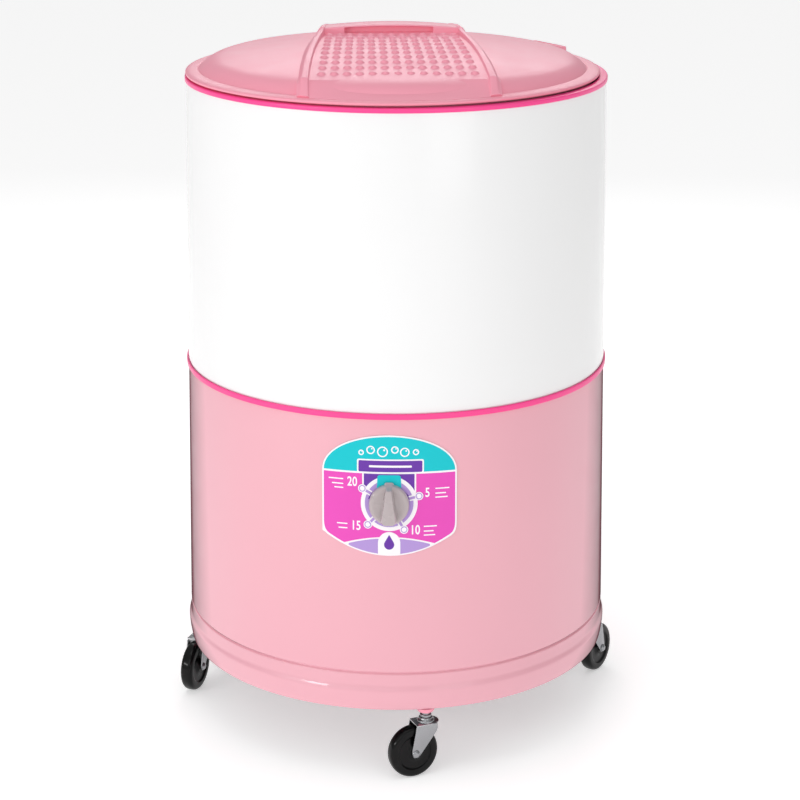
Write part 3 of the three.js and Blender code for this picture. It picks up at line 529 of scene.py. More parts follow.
piece("tub_shell", [lathe([
    (24, TUB_FLOOR_Z), (272, TUB_FLOOR_Z, 28), (272, 456, 1.5), (TUB_R, 461.2, 1.5),
    (TUB_R, 831.5, 1.8), (268.2, 831.5, 0.4), (268.2, 830, 0.4), (273.5, 830, 0.8),
    (273.5, 461.8, 1.5), (270.5, 456.6, 1.5), (270.5, TUB_FLOOR_Z + 1.5, 26.5),
    (24, TUB_FLOOR_Z + 1.5),
], RING)], "cabinet", ENAMEL, ["tub"])

piece("waist_trim_ring", [lathe([
    (272.4, WAIST_Z, 0.3), (TRIM_R - 0.4, WAIST_Z, 0.8), (TRIM_R, WAIST_Z + 1.4, 1.2),
    (TRIM_R, WAIST_TOP_Z - 1.4, 1.2), (TRIM_R - 0.4, WAIST_TOP_Z, 0.8), (275.3, WAIST_TOP_Z, 0.2),
    (272.4, WAIST_Z + 2.5, 0.2),
], RING)], "cabinet", TRIM, ["waist_trim"])

piece("rim_trim_ring", [lathe([
    (275.3, RIM_Z, 0.3), (RIM_TRIM_R, RIM_Z, 0.6), (RIM_TRIM_R, RIM_TOP_Z, 1.6),
    (265.4, RIM_TOP_Z, 0.9), (265.4, RIM_Z, 0.3), (267.2, RIM_Z, 0.3), (267.2, 831.8, 0.3),
    (273.8, 831.8, 0.3), (275.3, 830.6, 0.3),
], RING)], "cabinet", TRIM, ["rim_trim"])


# ---------------------------------------------------------------- lid

def dome_z(r):
    return DOME_EDGE_Z + DOME_RISE * (1 - (r / DOME_R) ** 2)


def on_lid(shape):
    return shifted(turned(shape, LID_TURN_DEG), LID_SHIFT_X)


DOME_STEPS = 14
dome_top = [(r, dome_z(r)) for r in (DOME_R * k / DOME_STEPS for k in range(DOME_STEPS, -1, -1))]
dome_under = [(r, z - 2.5) for r, z in reversed(dome_top)]
lid_profile = [
    *dome_under, (236, RIM_Z + 22.5, 6), (246, RIM_Z + 15.5, 5), (256, RIM_Z + 9.6, 2),
    (256, LID_UNDER_Z - 22, 0.8), (258.4, LID_UNDER_Z - 22, 0.8), (258.4, LID_UNDER_Z, 0.6),
    (264, LID_UNDER_Z, 0.4), (264.8, LID_UNDER_Z + 2, 0.4), (LID_R - 0.4, LID_UNDER_Z + 2, 0.8),
    (LID_R, LID_UNDER_Z + 3, 0.8), (LID_R, EDGE_Z + 1, 2), (265, FLANGE_Z - 0.7, 4),
    (255.2, FLANGE_Z, 0.7), (254.2, FLANGE_Z - 0.9, 0.6), (252.6, FLANGE_Z + 0.8, 1),
    (246.5, FLANGE_Z + 6.6, 5), (237, FLANGE_Z + 12.4, 7), *dome_top,
]
piece("lid_shell", [on_lid(lathe(lid_profile, 256))], "lid", PLASTIC, ["lid"])


def progress(y):
    return min(1.0, max(0.0, (y - CREASE_Y) / (WALL_Y - CREASE_Y)))


def board_floor(y):
    return BOARD_FLOOR_Z - BOARD_SAG * max(0, 10 - y) ** 2


def rail_width(y):
    return RAIL_WIDTH - 2.5 * progress(y)


def board_half(y):
    return 110.5 - 9 * progress(y) - 12.5 * progress(y) ** 2 + rail_width(y)


def bump_height(x, y):
    """Height of the rounded scrubbing buttons over the washboard floor."""
    row = round((y - BUMP_FIRST_Y) / BUMP_PITCH_Y)
    if not 0 <= row < BUMP_ROWS:
        return 0
    row_y = BUMP_FIRST_Y + BUMP_PITCH_Y * row
    pitch = 15.9 - 2.3 * progress(row_y)
    half_row = (BUMP_COLUMNS - 1) / 2
    column = max(-half_row, min(half_row, round(x / pitch)))
    reach = hypot((x - column * pitch) / BUMP_HALF_X, (y - row_y) / BUMP_HALF_Y)
    return BUMP_HEIGHT * max(0.0, 1 - reach ** 2.6) ** 0.8


FLOOR_COLUMNS = 105
FLOOR_STEP_Y = 1.05
TAIL = [(52, -0.2, 1.2), (80, -0.5, 1.0), (140, -7, 0.5), (190, -18, 0.3), (BOARD_END_Y, -36, 0.1)]


def board_section(y, floor_z, rail, crown, bumps=False):
    """Half a row across the washboard, from its middle to its foot on the dome."""
    tail = max(0.0, (y - WALL_Y) / (BOARD_END_Y - WALL_Y))
    half = board_half(y) - 14 * tail
    inner = half - rail_width(y)
    edge = inner - 2.2
    flat = []
    for k in range(FLOOR_COLUMNS + 1):
        x = edge * k / FLOOR_COLUMNS
        z = floor_z + crown * (1 - (x / edge) ** 2)
        flat.append((x, z + (bump_height(x, y) if bumps else 0)))
    foot_x = half + 2.5 + 7.5 * progress(y)
    foot_z = min(dome_z(hypot(foot_x, y)), floor_z + rail - 0.6)
    side = soft([
        (edge, floor_z), (inner - 0.9, floor_z, 1.2), (inner + 0.3, floor_z + rail, 1.3),
        (half - 0.4, floor_z + rail, 2.4 + 4 * progress(y) ** 3), (foot_x - 0.6, foot_z + 0.9, 2.2),
        (foot_x + 2.6, foot_z - 1.2),
    ], closed=False)
    return flat + side[1:]


def tail_height(y):
    """Top of the hump behind the wall, and how far its rails stand up, by smooth steps."""
    for (y0, z0, r0), (y1, z1, r1) in zip(TAIL, TAIL[1:]):
        if y <= y1:
            t = (y - y0) / (y1 - y0)
            return z0 + (z1 - z0) * t, r0 + (r1 - r0) * t
    return TAIL[-1][1:]


def board_rows():
    rows = []

    def add(y, section, lean=0.0, arc=0.0):
        """One full row. Arc slides it onto the flange's curve, and lean pushes parts of it back."""
        full = [(-x, z) for x, z in section[:0:-1]] + section
        points = []
        for x, z in full:
            arc_y = -sqrt(BOARD_FRONT_R ** 2 - x * x)
            inside = 1 - smoothstep(POCKET_HALF_X - 1.2, POCKET_HALF_X + 0.4, abs(x - POCKET_X))
            points.append((x, y + (arc_y - y) * arc + lean * inside, z))
        rows.append(points)

    crease = board_section(CREASE_Y, board_floor(CREASE_Y), 3.4, 0)
    foot = board_section(CREASE_Y - 1, FLANGE_Z - 0.6, 2.2, 0)
    front_steps = 14
    for step in range(front_steps):
        t = step / front_steps
        mixed = [(a[0] * (1 - t) + b[0] * t, a[1] * (1 - t) + b[1] * t)
                 for a, b in zip(foot, crease)]
        add(CREASE_Y, mixed, arc=1 - t)
    rows_back = round((WALL_Y - 1 - CREASE_Y) / FLOOR_STEP_Y)
    for step in range(rows_back + 1):
        y = CREASE_Y + (WALL_Y - 1 - CREASE_Y) * step / rows_back
        lift = 1.2 * smoothstep(WALL_Y - 8, WALL_Y - 1, y)
        add(y, board_section(y, board_floor(y) + lift, 3.5 + 4 * progress(y) ** 3, 0,
                             bumps=y < WALL_Y - 8))
    wall_steps = 18
    wall_height = BOARD_TOP_Z - BOARD_FLOOR_Z - 1.4
    for step in range(1, wall_steps + 1):
        t = step / wall_steps
        z = BOARD_FLOOR_Z + 1.2 + wall_height * t
        rail = (7.5 - 1.2) * (1 - t) + 1.5 * t
        inside = smoothstep(0.0, 0.1, t) * (1 - smoothstep(0.76, 0.86, t))
        y = WALL_Y - 1 + 1.6 * t + 1.2 * smoothstep(0.85, 1, t)
        add(y, board_section(y, z, rail, BOARD_CROWN * t), lean=POCKET_DEPTH * inside)
    tail_steps = 46
    for step in range(1, tail_steps + 1):
        y = WALL_Y + 3 + (BOARD_END_Y - WALL_Y - 3) * step / tail_steps
        drop, rail = tail_height(y)
        crown = BOARD_CROWN * (1 - smoothstep(170, BOARD_END_Y, y))
        add(y, board_section(y, BOARD_TOP_Z + drop, rail, crown))
    return rows


def shell_middle(r):
    """Height of the middle of the lid's wall."""
    if r < DOME_R:
        return dome_z(r) - 1.2
    return max(839.4, dome_z(DOME_R) - 1.2 - (r - DOME_R) * 0.6)


def washboard():
    """The hump: its top surface, closed underneath by rings hidden in the lid's wall."""
    rows = board_rows()
    across = len(rows[0])
    vertices = [point for row in rows for point in row]
    faces = []
    for i in range(len(rows) - 1):
        for j in range(across - 1):
            a, b = i * across + j, i * across + j + 1
            faces.append((a, b, b + across, a + across))
    border = list(range(across))
    border += [i * across + across - 1 for i in range(1, len(rows))]
    border += [(len(rows) - 1) * across + j for j in range(across - 2, -1, -1)]
    border += [i * across for i in range(len(rows) - 2, 0, -1)]
    rings = [border]
    for scale in (0.985, 0.8, 0.6, 0.4, 0.2):
        rings.append(list(range(len(vertices), len(vertices) + len(border))))
        for i in border:
            x, y = vertices[i][0] * scale, vertices[i][1] * scale
            vertices.append((x, y, shell_middle(hypot(x, y))))
    rings.append([len(vertices)])
    vertices.append((0, 0, shell_middle(0)))
    return vertices, faces + bridge(rings)


piece("lid_washboard", [on_lid(washboard())], "lid", PLASTIC, sharp_deg=60)


def slotted_tab():
    """Raised tab with a long slot sunk in its top."""
    def ring(half_x, half_y, corner, z):
        return [(x, y, z) for x, y in soft(rectangle(half_x, half_y, corner))]
    base = FLANGE_Z - 1.6
    top = FLANGE_Z + TAB_RISE
    return loft([
        ring(TAB_HALF_LENGTH, TAB_HALF_WIDTH, 3, base), ring(35.6, 5.2, 3, top - 1.4),
        ring(35, 4.6, 2.6, top - 0.4), ring(34, 3.8, 2.2, top), ring(29.6, 2, 1.2, top),
        ring(29, 1.5, 1, top - 0.5), ring(28.8, 1.4, 1, top - 3),
    ])


tab_place = turned(shifted(slotted_tab(), 0, TAB_CIRCLE_R), TAB_TURN_DEG)
piece("lid_tab", [on_lid(tab_place)], "lid", PLASTIC)


# ---------------------------------------------------------------- label

label_count = 0
NUMBER_SQUEEZE = 0.74      # the dial numbers are narrow
NUMBER_HEIGHT = 11.4


def on_label(x, z, radius):
    """A point across and up the label, wrapped on the skirt at a radius."""
    angle = asin(x / radius) + radians(TIMER_TURN_DEG)
    return (radius * sin(angle), -radius * cos(angle), z)


def patch(points, faces, layer, ink, name=None):
    """A thin printed patch: flat faces wrapped on the skirt and given a thickness."""
    global label_count
    label_count += 1
    low = LABEL_R + LAYER * (layer - 1) - 0.05
    high = LABEL_R + LAYER * layer
    size = len(points)
    vertices = [on_label(x, z, high) for x, z in points] + [on_label(x, z, low) for x, z in points]
    used = {}
    for face in faces:
        for a, b in zip(face, face[1:] + face[:1]):
            used[(a, b)] = used.get((a, b), 0) + 1
    sides = [(a, size + a, size + b, b) for a, b in used if (b, a) not in used]
    back = [tuple(size + i for i in reversed(f)) for f in faces]
    solid = [tuple(f) for f in faces] + back + sides
    return piece(name or f"label_patch_{label_count:02d}", [(vertices, solid)], "cabinet", ink,
                 sharp_deg=30)


def sliced(mesh_points, mesh_faces):
    """The same faces cut by upright lines 4 mm apart, so that they can bend round the skirt."""
    work = bmesh.new()
    made = [work.verts.new((x, 0, z)) for x, z in mesh_points]
    for face in mesh_faces:
        work.faces.new([made[i] for i in face])
    bmesh.ops.triangulate(work, faces=[f for f in work.faces if len(f.verts) > 4])
    for x in range(-84, 85, 4):
        everything = work.verts[:] + work.edges[:] + work.faces[:]
        bmesh.ops.bisect_plane(work, geom=everything, plane_co=(x, 0, 0), plane_no=(1, 0, 0),
                               dist=1e-5)
    work.verts.index_update()
    points = [(v.co.x, v.co.z) for v in work.verts]
    faces = [[v.index for v in f.verts] for f in work.faces]
    work.free()
    return points, faces


def filled(outline, layer, ink, name=None):
    points = [tuple(p[:2]) for p in soft(outline)]
    return patch(*sliced(points, [list(range(len(points)))]), layer, ink, name)


def ring_patch(cx, cz, outer, inner, layer, ink, sides=72):
    points = arc(cx, cz, outer, sides) + arc(cx, cz, inner, sides)
    faces = [[i, (i + 1) % sides, sides + (i + 1) % sides, sides + i] for i in range(sides)]
    return patch(points, faces, layer, ink)


def dot_patch(cx, cz, radius, layer, ink, sides=28):
    return filled(arc(cx, cz, radius, sides), layer, ink)


def number_patch(text, cx, cz, height, layer, ink):
    """A dial number in the plain built-in letter shapes."""
    curve = bpy.data.curves.new("number", "FONT")
    curve.body = text
    curve.size = height * 1.42
    curve.offset = 0.3
    curve.space_character = 1.04
    curve.align_x = "CENTER"
    curve.align_y = "CENTER"
    holder = bpy.data.objects.new("number", curve)
    bpy.context.scene.collection.objects.link(holder)
    bpy.context.view_layer.update()
    graph = bpy.context.evaluated_depsgraph_get()
    flat = bpy.data.meshes.new_from_object(holder.evaluated_get(graph))
    points = [(cx + v.co.x * NUMBER_SQUEEZE, cz + v.co.y) for v in flat.vertices]
    faces = [list(p.vertices) for p in flat.polygons]
    bpy.data.objects.remove(holder)
    bpy.data.curves.remove(curve)
    bpy.data.meshes.remove(flat)
    patch(*sliced(points, faces), layer, ink, f"dial_number_{text}")


def label_outline(inset):
    """Straight sides, a domed top and a shallow curved foot."""
    w = LABEL_HALF_WIDTH - inset
    steps = 40
    foot = [(w * u, LABEL_FOOT_Z - LABEL_SAG * (1 - u * u) + inset)
            for u in (-0.84 + 1.68 * i / steps for i in range(steps + 1))]
    top = [(w * cos(a), LABEL_SHOULDER_Z + (LABEL_DOME - inset) * sin(a))
           for a in (pi * i / steps for i in range(steps + 1))]
    corner = LABEL_FOOT_Z - 0.5 + inset
    return [tuple(p) for p in soft([(-w, corner, 12), *foot, (w, corner, 12), *top])]


def clipped(outline, low, high):
    """The part of a label outline between two heights."""
    work = bmesh.new()
    made = [work.verts.new((x, 0, z)) for x, z in outline]
    work.faces.new(made)
    for z, direction in ((low, -1), (high, 1)):
        everything = work.verts[:] + work.edges[:] + work.faces[:]
        bmesh.ops.bisect_plane(work, geom=everything, plane_co=(0, 0, z),
                               plane_no=(0, 0, direction), clear_outer=True)
    work.verts.index_update()
    face = work.faces[:][0]
    points = [(v.co.x, v.co.z) for v in face.verts]
    work.free()
    return points


def dial_point(angle_deg, radius):
    """A point round the timer axis, its angle measured clockwise from the top."""
    angle = radians(angle_deg)
    return Vector((radius * sin(angle), TIMER_Z + radius * cos(angle)))


def bar(angle_deg, start, end, half, layer, ink):
    """A straight mark pointing away from the timer axis."""
    along = dial_point(angle_deg, 1) - Vector((0, TIMER_Z))
    across = Vector((-along.y, along.x)) * half
    a, b = dial_point(angle_deg, start), dial_point(angle_deg, end)
    filled([tuple(a - across), tuple(b - across), tuple(b + across), tuple(a + across)], layer, ink)


FIELD_SPLIT_Z = 387        # white line between the teal top and the magenta field
SPLIT_HALF = 1.2
LABEL_EDGE = 1.9           # white border
filled(label_outline(0), 0, INK_WHITE, "label_plate_film")
inner_outline = label_outline(LABEL_EDGE)
filled(clipped(inner_outline, FIELD_SPLIT_Z + SPLIT_HALF, 440), 1, INK_TEAL)
filled(clipped(inner_outline, 270, FIELD_SPLIT_Z - SPLIT_HALF), 1, INK_MAGENTA)

# Name block without a name: a purple panel with a white border.
filled(rectangle(40.6, 8.6, 2.4, 1.5, 395.4), 2, INK_WHITE)
filled(rectangle(38.8, 7, 1.8, 1.5, 395.2), 3, INK_PURPLE)


# Soap bubbles on the teal and a plain line on the panel, in place of any name.
BUBBLES = [(-34, 412, 3.4), (-22.5, 415.5, 5.2), (-8, 413.5, 6.6), (7, 416, 4.6), (19, 413, 5.8),
           (32.5, 413, 3.8)]
for bubble_x, bubble_z, bubble_r in BUBBLES:
    ring_patch(bubble_x, bubble_z, bubble_r, bubble_r - 1.5, 2, INK_WHITE, 40)
    dot_patch(bubble_x + bubble_r * 0.3, bubble_z + bubble_r * 0.3, bubble_r * 0.18, 2, INK_WHITE,
              12)
filled(rectangle(26, 1.3, 1, 1.5, 395.2), 4, INK_WHITE)

# Panel behind the top of the dial, white ring, lavender ring and the off tab.
filled([(-32.8, 352), (32.8, 352), (32.8, FIELD_SPLIT_Z), (-32.8, FIELD_SPLIT_Z)], 2, INK_WHITE)
filled([(-30.8, 354), (30.8, 354), (30.8, FIELD_SPLIT_Z - SPLIT_HALF),
        (-30.8, FIELD_SPLIT_Z - SPLIT_HALF)], 3, INK_PURPLE)
ring_patch(0, TIMER_Z, 34.6, 29.6, 4, INK_WHITE)
ring_patch(0, TIMER_Z, 29.7, 6.5, 4, INK_LAVENDER)
filled([(-15, 366, 0), (15, 366, 0), (14.2, 384.4, 3.4), (-14.2, 384.4, 3.4)], 5, INK_TEAL)

DIAL_MARKS = {"5": (76, (46.5, 361.5)), "10": (151, (31.5, 315)), "15": (224, (-40.5, 319.5)),
              "20": (299, (-45, 374.5))}
for text, (mark_angle, place) in DIAL_MARKS.items():
    bar(mark_angle, 25, 35, 3.3, 5, INK_WHITE)
    bar(mark_angle, 25, 35, 1.6, 6, INK_LAVENDER)
    mark = dial_point(mark_angle, 37.4)
    dot_patch(mark.x, mark.y, 5.2, 6, INK_WHITE)
    ring_patch(mark.x, mark.y, 4.1, 3.0, 7, INK_LAVENDER, 32)
    number_patch(text, *place, NUMBER_HEIGHT, 2, INK_WHITE)

# Plain lines where the setting names would be.
NOTE_LINES = [(56, 366.5, 17), (56, 360.5, 13), (56, 355.5, 15), (42, 319.5, 16), (42, 313.5, 12),
              (42, 308.5, 14), (-51, 321.5, -13), (-51, 316, -11), (-56, 377.5, -18),
              (-56, 371.5, -14), (-56, 366.5, -11)]
for start_x, line_z, reach in NOTE_LINES:
    middle_x = start_x + reach / 2
    filled(rectangle(abs(reach) / 2, 0.75, 0.5, middle_x, line_z), 2, INK_WHITE)

# White arch at the foot with a water drop, between two lavender crescents.
CRESCENT_HALF = 54
crescent_top = [(x, 295.6 + 9.4 * (1 - (x / CRESCENT_HALF) ** 2))
                for x in (CRESCENT_HALF - 2 * CRESCENT_HALF * i / 24 for i in range(25))]
crescent_foot = [(x, LABEL_FOOT_Z - LABEL_SAG * (1 - (x / LABEL_HALF_WIDTH) ** 2) + LABEL_EDGE)
                 for x, _ in crescent_top[::-1]]
white_band = [(x * 1.035, z + 1.7) for x, z in crescent_top]
filled(white_band + [(x, z) for x, z in crescent_foot], 2, INK_WHITE)
filled([*crescent_top[1:-1], *crescent_foot[1:-1]], 3, INK_LAVENDER)
ARCH_R = 13.6
arch = arc(0, 299.5, ARCH_R, 24, pi)
filled([*arch, (-ARCH_R, 284.2), (0, 283.4), (ARCH_R, 284.2)], 4, INK_WHITE)
DROP_R = 6.2
drop = [(0, 309.6)] + [(DROP_R * sin(a), 297.2 - DROP_R * cos(a))
                       for a in (pi * (0.68 - 1.36 * i / 22) for i in range(23))]
filled(drop, 5, INK_PURPLE)


# ---------------------------------------------------------------- timer knob

KNOB_SEAT = 1.6            # the knob stands off the timer's plane by this


def at_timer(shape):
    return shifted(turned(forward(shape), TIMER_TURN_DEG), TIMER_X, TIMER_Y, TIMER_Z)


def knob_grip():
    """Tapered grip bar that flares downward, hollowed a little along both flanks."""
    outline = [(-3.4, 22.6, 1.5), (3.4, 22.6, 1.5), (5.2, 11, 6), (6.6, 0, 6), (9.2, -13, 5),
               (9, -19.4, 3), (5, -21.6, 2), (-5, -21.6, 2), (-9, -19.4, 3), (-9.2, -13, 5),
               (-6.6, 0, 6), (-5.2, 11, 6)]
    profile = soft(outline)

    def ring(scale, z):
        return [(x * scale, y * (1 - (1 - scale) * 0.35), z) for x, y in profile]
    return loft([ring(1.55, 2), ring(1.22, 7), ring(1.05, 11), ring(1.0, 15.5), ring(0.97, 18.4),
                 ring(0.9, 19.6), ring(0.76, 20)])


knob_foot = lathe([(0, 0), (KNOB_R, 0, 0.6), (KNOB_R, 7.4, 2.4), (21, 9.2, 3), (13, 7.6, 3),
                   (0, 7.8)], 72)
piece("timer_knob_cap", [
    at_timer(shifted(shape, 0, 0, KNOB_SEAT)) for shape in (knob_foot, knob_grip())
], "timer_dial", KNOB_GREY, ["timer_knob"])


# ---------------------------------------------------------------- casters

def mirrored(outline):
    """The outline below the middle that matches one above it, in reverse order."""
    return [(r, -w, *corner) for r, w, *corner in reversed(outline)]


def caster_pieces(place, turn_deg, trail_deg):
    angle = radians(CHASSIS_TURN_DEG + turn_deg)
    centre = Matrix.Translation((STEM_CIRCLE_R * sin(angle), -STEM_CIRCLE_R * cos(angle), 0))
    matrix = centre @ Matrix.Rotation(radians(trail_deg), 4, "Z")
    axle = Matrix.Translation((0, -TRAIL, WHEEL_R))

    def here(*shapes):
        return [moved(shape, matrix) for shape in shapes]

    def on_axle(shape):
        return moved(sideways(shape), axle)

    nose = arc(0, FORK_NOSE, FORK_HALF, 20, pi)
    plate = slab([(-FORK_HALF, -TRAIL + 1), (FORK_HALF, -TRAIL + 1), *nose],
                 FORK_TOP_Z - FORK_SHEET, FORK_TOP_Z, 0.9)
    cheek_outline = [(CHEEK_FRONT, FORK_TOP_Z - 0.5, 2), (-TRAIL + 1, FORK_TOP_Z - 0.5, 2.5),
                     (-TRAIL - 5.9, WHEEL_R + 2, 5), (-TRAIL - 3.4, WHEEL_R - 5, 3),
                     (-TRAIL + 2.6, WHEEL_R - 5.6, 3), (-TRAIL + 6.2, WHEEL_R - 1.4, 5),
                     (CHEEK_FRONT, FORK_TOP_Z - 9, 5)]
    cheek = upright(slab(cheek_outline, 0, FORK_SHEET, 0.6))
    cheeks = [shifted(cheek, x) for x in (-FORK_HALF, FORK_HALF - FORK_SHEET)]
    boss = lathe([(0, FORK_TOP_Z - 1), (11, FORK_TOP_Z - 1, 0.5), (10.8, 69.4, 1.2), (8.8, 71, 1),
                  (8.2, 73, 0.8), (5.3, 73, 0.3), (5.3, 69.5), (0, 69.5)])
    stem = lathe([(0, 69.6), (STEM_R, 69.6, 0.4), (STEM_R, 73.3, 0.2), (7.2, 73.3, 0.5),
                  (7.2, 76.2, 0.5), (STEM_R, 76.2, 0.2), (STEM_R, 119), (4, 121, 0.6), (0, 121)])
    head = FORK_HALF + 0.2
    half_pin = [(PIN_R, head), (PIN_HEAD_R, head, 0.2), (PIN_HEAD_R, head + 0.6, 0.9),
                (2.6, head + 2.6, 1.2), (0, head + 2.9)]
    pin = lathe([*mirrored(half_pin), *half_pin], 32)
    half_profile = [(3.3, 9.1, 0.3), (7.4, 9.1, 0.8), (8.4, 7.6, 0.8), (12, 6.2, 2),
                    (20.5, 6.0, 1.5), (21.6, 8.2, 0.8), (24, 8.4, 0.8), (28.2, 8.2, 1.6),
                    (30.6, 6.4, 2), (WHEEL_R, 3.4, 3)]
    wheel = lathe([*half_profile, *mirrored(half_profile)], 72)
    under_skirt = FOOT_Z - SHEET_GAP
    socket = lathe([(STEM_R + 0.3, 79, 0.2), (7.4, 79, 0.5), (10.2, 80.6, 1.2), (11.2, 83, 1.2),
                    (11.2, under_skirt, 0.3), (SOCKET_R, under_skirt, 0.3),
                    (SOCKET_R, SOCKET_TOP_Z, 0.4), (STEM_R + 0.3, SOCKET_TOP_Z, 0.2)])
    fork_body, wheel_body = f"{place}_fork", f"{place}_wheel"
    for part, shapes, body, material in (
            ("fork", here(plate, *cheeks, boss), fork_body, ZINC),
            ("stem", here(stem), fork_body, ZINC),
            ("axle", here(on_axle(pin)), fork_body, ZINC),
            ("wheel", here(on_axle(wheel)), wheel_body, RUBBER),
            ("socket", here(socket), "cabinet", PLASTIC)):
        piece(f"caster_{place}_{part}", shapes, body, material, [f"caster_{part}_{place}"])


# Where each caster sits round the base, and the way its wheel trails (0 = towards the front).
CASTERS = {"front": (0, -67), "right": (87.8, 146), "back": (180, 20), "left": (263.2, -20)}
for caster_place, (caster_turn, caster_trail) in CASTERS.items():
    caster_pieces(caster_place, caster_turn, caster_trail)


# ---------------------------------------------------------------- drain hose and power cord

def at_back(shape, turn_deg, z=0):
    return shifted(turned(shape, turn_deg), 0, 0, z)


def hose_path():
    crook = HOSE_CROOK_R
    bend = [radians(a) for a in (150, 120, 90, 60, 30, 0)]
    top = [(crook + crook * cos(a), HOSE_PLANE_Y, HOSE_TOP_Z + crook * sin(a)) for a in bend]
    return smooth_path([
        (0, 283, SIDE_Z), (0, 290, SIDE_Z), (0, 299, SIDE_Z + 6), (0, HOSE_PLANE_Y, SIDE_Z + 22),
        *((0, HOSE_PLANE_Y, z) for z in (300, 500, 700, HOSE_TOP_Z)), *top,
        (2 * crook, HOSE_PLANE_Y, HOSE_TOP_Z - 40),
    ], 1.25)


def hose_radius(distance):
    """Corrugated wall: evenly spaced rounded ribs, and smooth cuffs at both ends."""
    begins = smoothstep(HOSE_CUFF, HOSE_CUFF + 6, distance)
    ends = smoothstep(HOSE_LENGTH - 44, HOSE_LENGTH - 38, distance)
    groove = 0.5 + 0.5 * cos(tau * distance / RIB_PITCH)
    return HOSE_R - RIB_DEPTH * begins * (1 - ends) * groove


piece("drain_hose_ribbed",
      [at_back(sweep(hose_path(), hose_radius, 28, HOSE_BORE_R), HOSE_TURN_DEG)], "outer_hose",
      HOSE, ["drain_hose"])


def grommet(bore, hole, flange):
    return backward(lathe([(bore, 267.5, 0.4), (flange, 267.5, 0.8), (flange, 270.5, 0.8),
                           (hole, 270.5, 0.3), (hole, 275, 0.3), (flange, 275, 0.6),
                           (flange, 277.6, 1.2), (bore, 277.6, 0.8)]))


piece("hose_grommet_ring", [at_back(grommet(15, 17.2, 21), HOSE_TURN_DEG, SIDE_Z)], "cabinet",
      RUBBER, ["hose_grommet"])
piece("cord_grommet_ring", [at_back(grommet(5.2, 9.2, 12), CORD_TURN_DEG, SIDE_Z)], "cabinet",
      BLACK_PLASTIC, ["cord_grommet"])

clip_outline = [(12, 15, 0.6), (12, 18, 0.8), (-18, 18, 4), (-18, -25, 1), (18, -25, 1),
                (18, -21, 1), (12, -20.5, 2), (12, -15, 0.8), (-15, -15, 2.5), (-15, 15, 2.5)]
piece("hose_clip_moulded",
      [at_back(shifted(slab(clip_outline, 640, 664, 0.7), 0, HOSE_PLANE_Y), HOSE_TURN_DEG)],
      "cabinet", WHITE_PLASTIC, ["hose_clip"])


def cord_path():
    steps = 16
    points = [(0, 262, SIDE_Z), (0, 280, SIDE_Z), (8, 288, SIDE_Z + 14)]
    for i in range(2, COIL_TURNS * steps + 1):
        a = -pi / 2 + tau * i / steps
        points.append((COIL_HALF_WIDTH * cos(a), COIL_START_Y + COIL_PITCH * i / steps,
                       COIL_MIDDLE_Z + COIL_HALF_HEIGHT * sin(a)))
    points += [(-2, 326, 192), (-20, PLUG_Y, 176), (PLUG_X, PLUG_Y, 150)]
    return smooth_path(points, 3)


piece("power_cord_round", [at_back(sweep(cord_path(), lambda distance: CORD_R, 16), CORD_TURN_DEG)],
      "cabinet", RUBBER, ["power_cord"])

hook_arm = upright(slab([(275.4, 390, 0), (330, 390, 3), (330, 406, 1.6), (326, 406, 1.6),
                         (326, 394.6, 3), (275.4, 394.6, 0)], -7, 7, 1.0))
hook_pad = shifted(backward(slab(rectangle(17, 15, 4), 0, 2.6, 0.8)), 0, 275.3, 392)
piece("cord_hook_moulded", [at_back(hook_arm, CORD_TURN_DEG), at_back(hook_pad, CORD_TURN_DEG)],
      "cabinet", WHITE_PLASTIC, ["cord_hook"])

plug_body = lathe([(3.9, -2, 0.4), (5.6, -2, 0.8), (6.6, 3, 1), (9, 11, 4), (15, 20, 4),
                   (15, 38, 1.6), (0, 38), (0, 8), (3.9, 8, 0.3)])
plug_pins = [shifted(slab(rectangle(0.8, 3.2, 0.5), 37, 55, 0.5), x) for x in (-6.5, 6.5)]
plug_place = Matrix.Translation((PLUG_X, PLUG_Y, 151)) @ Matrix.Rotation(pi, 4, "X")
piece("plug_body_moulded", [at_back(moved(plug_body, plug_place), CORD_TURN_DEG)], "cabinet",
      BLACK_PLASTIC, ["plug"])
piece("plug_pins_brass", [at_back(moved(pin, plug_place), CORD_TURN_DEG) for pin in plug_pins],
      "cabinet", BRONZE)


# ---------------------------------------------------------------- inside the tub

def impeller_fin(turn_deg):
    """Curved fin, tapering up and outward, standing on the dish."""
    outline = [(20, -5, 2), (60, -9, 10), (110, -8, 10), (147, -3.4, 3), (149, 2.4, 3),
               (110, 2, 10), (60, 3, 10), (20, 5, 2)]
    profile = soft(outline)

    def ring(inset, lift):
        points = []
        for x, y in profile:
            height = lift * (1 - smoothstep(40, 150, x) * 0.8) + (6 if lift == 0 else 9)
            points.append((x, y * (1 - inset), IMPELLER_Z + height))
        return points
    return turned(loft([ring(0, 0), ring(0.05, 6), ring(0.18, 10.5), ring(0.42, 13),
                        ring(0.7, 14)]), turn_deg)


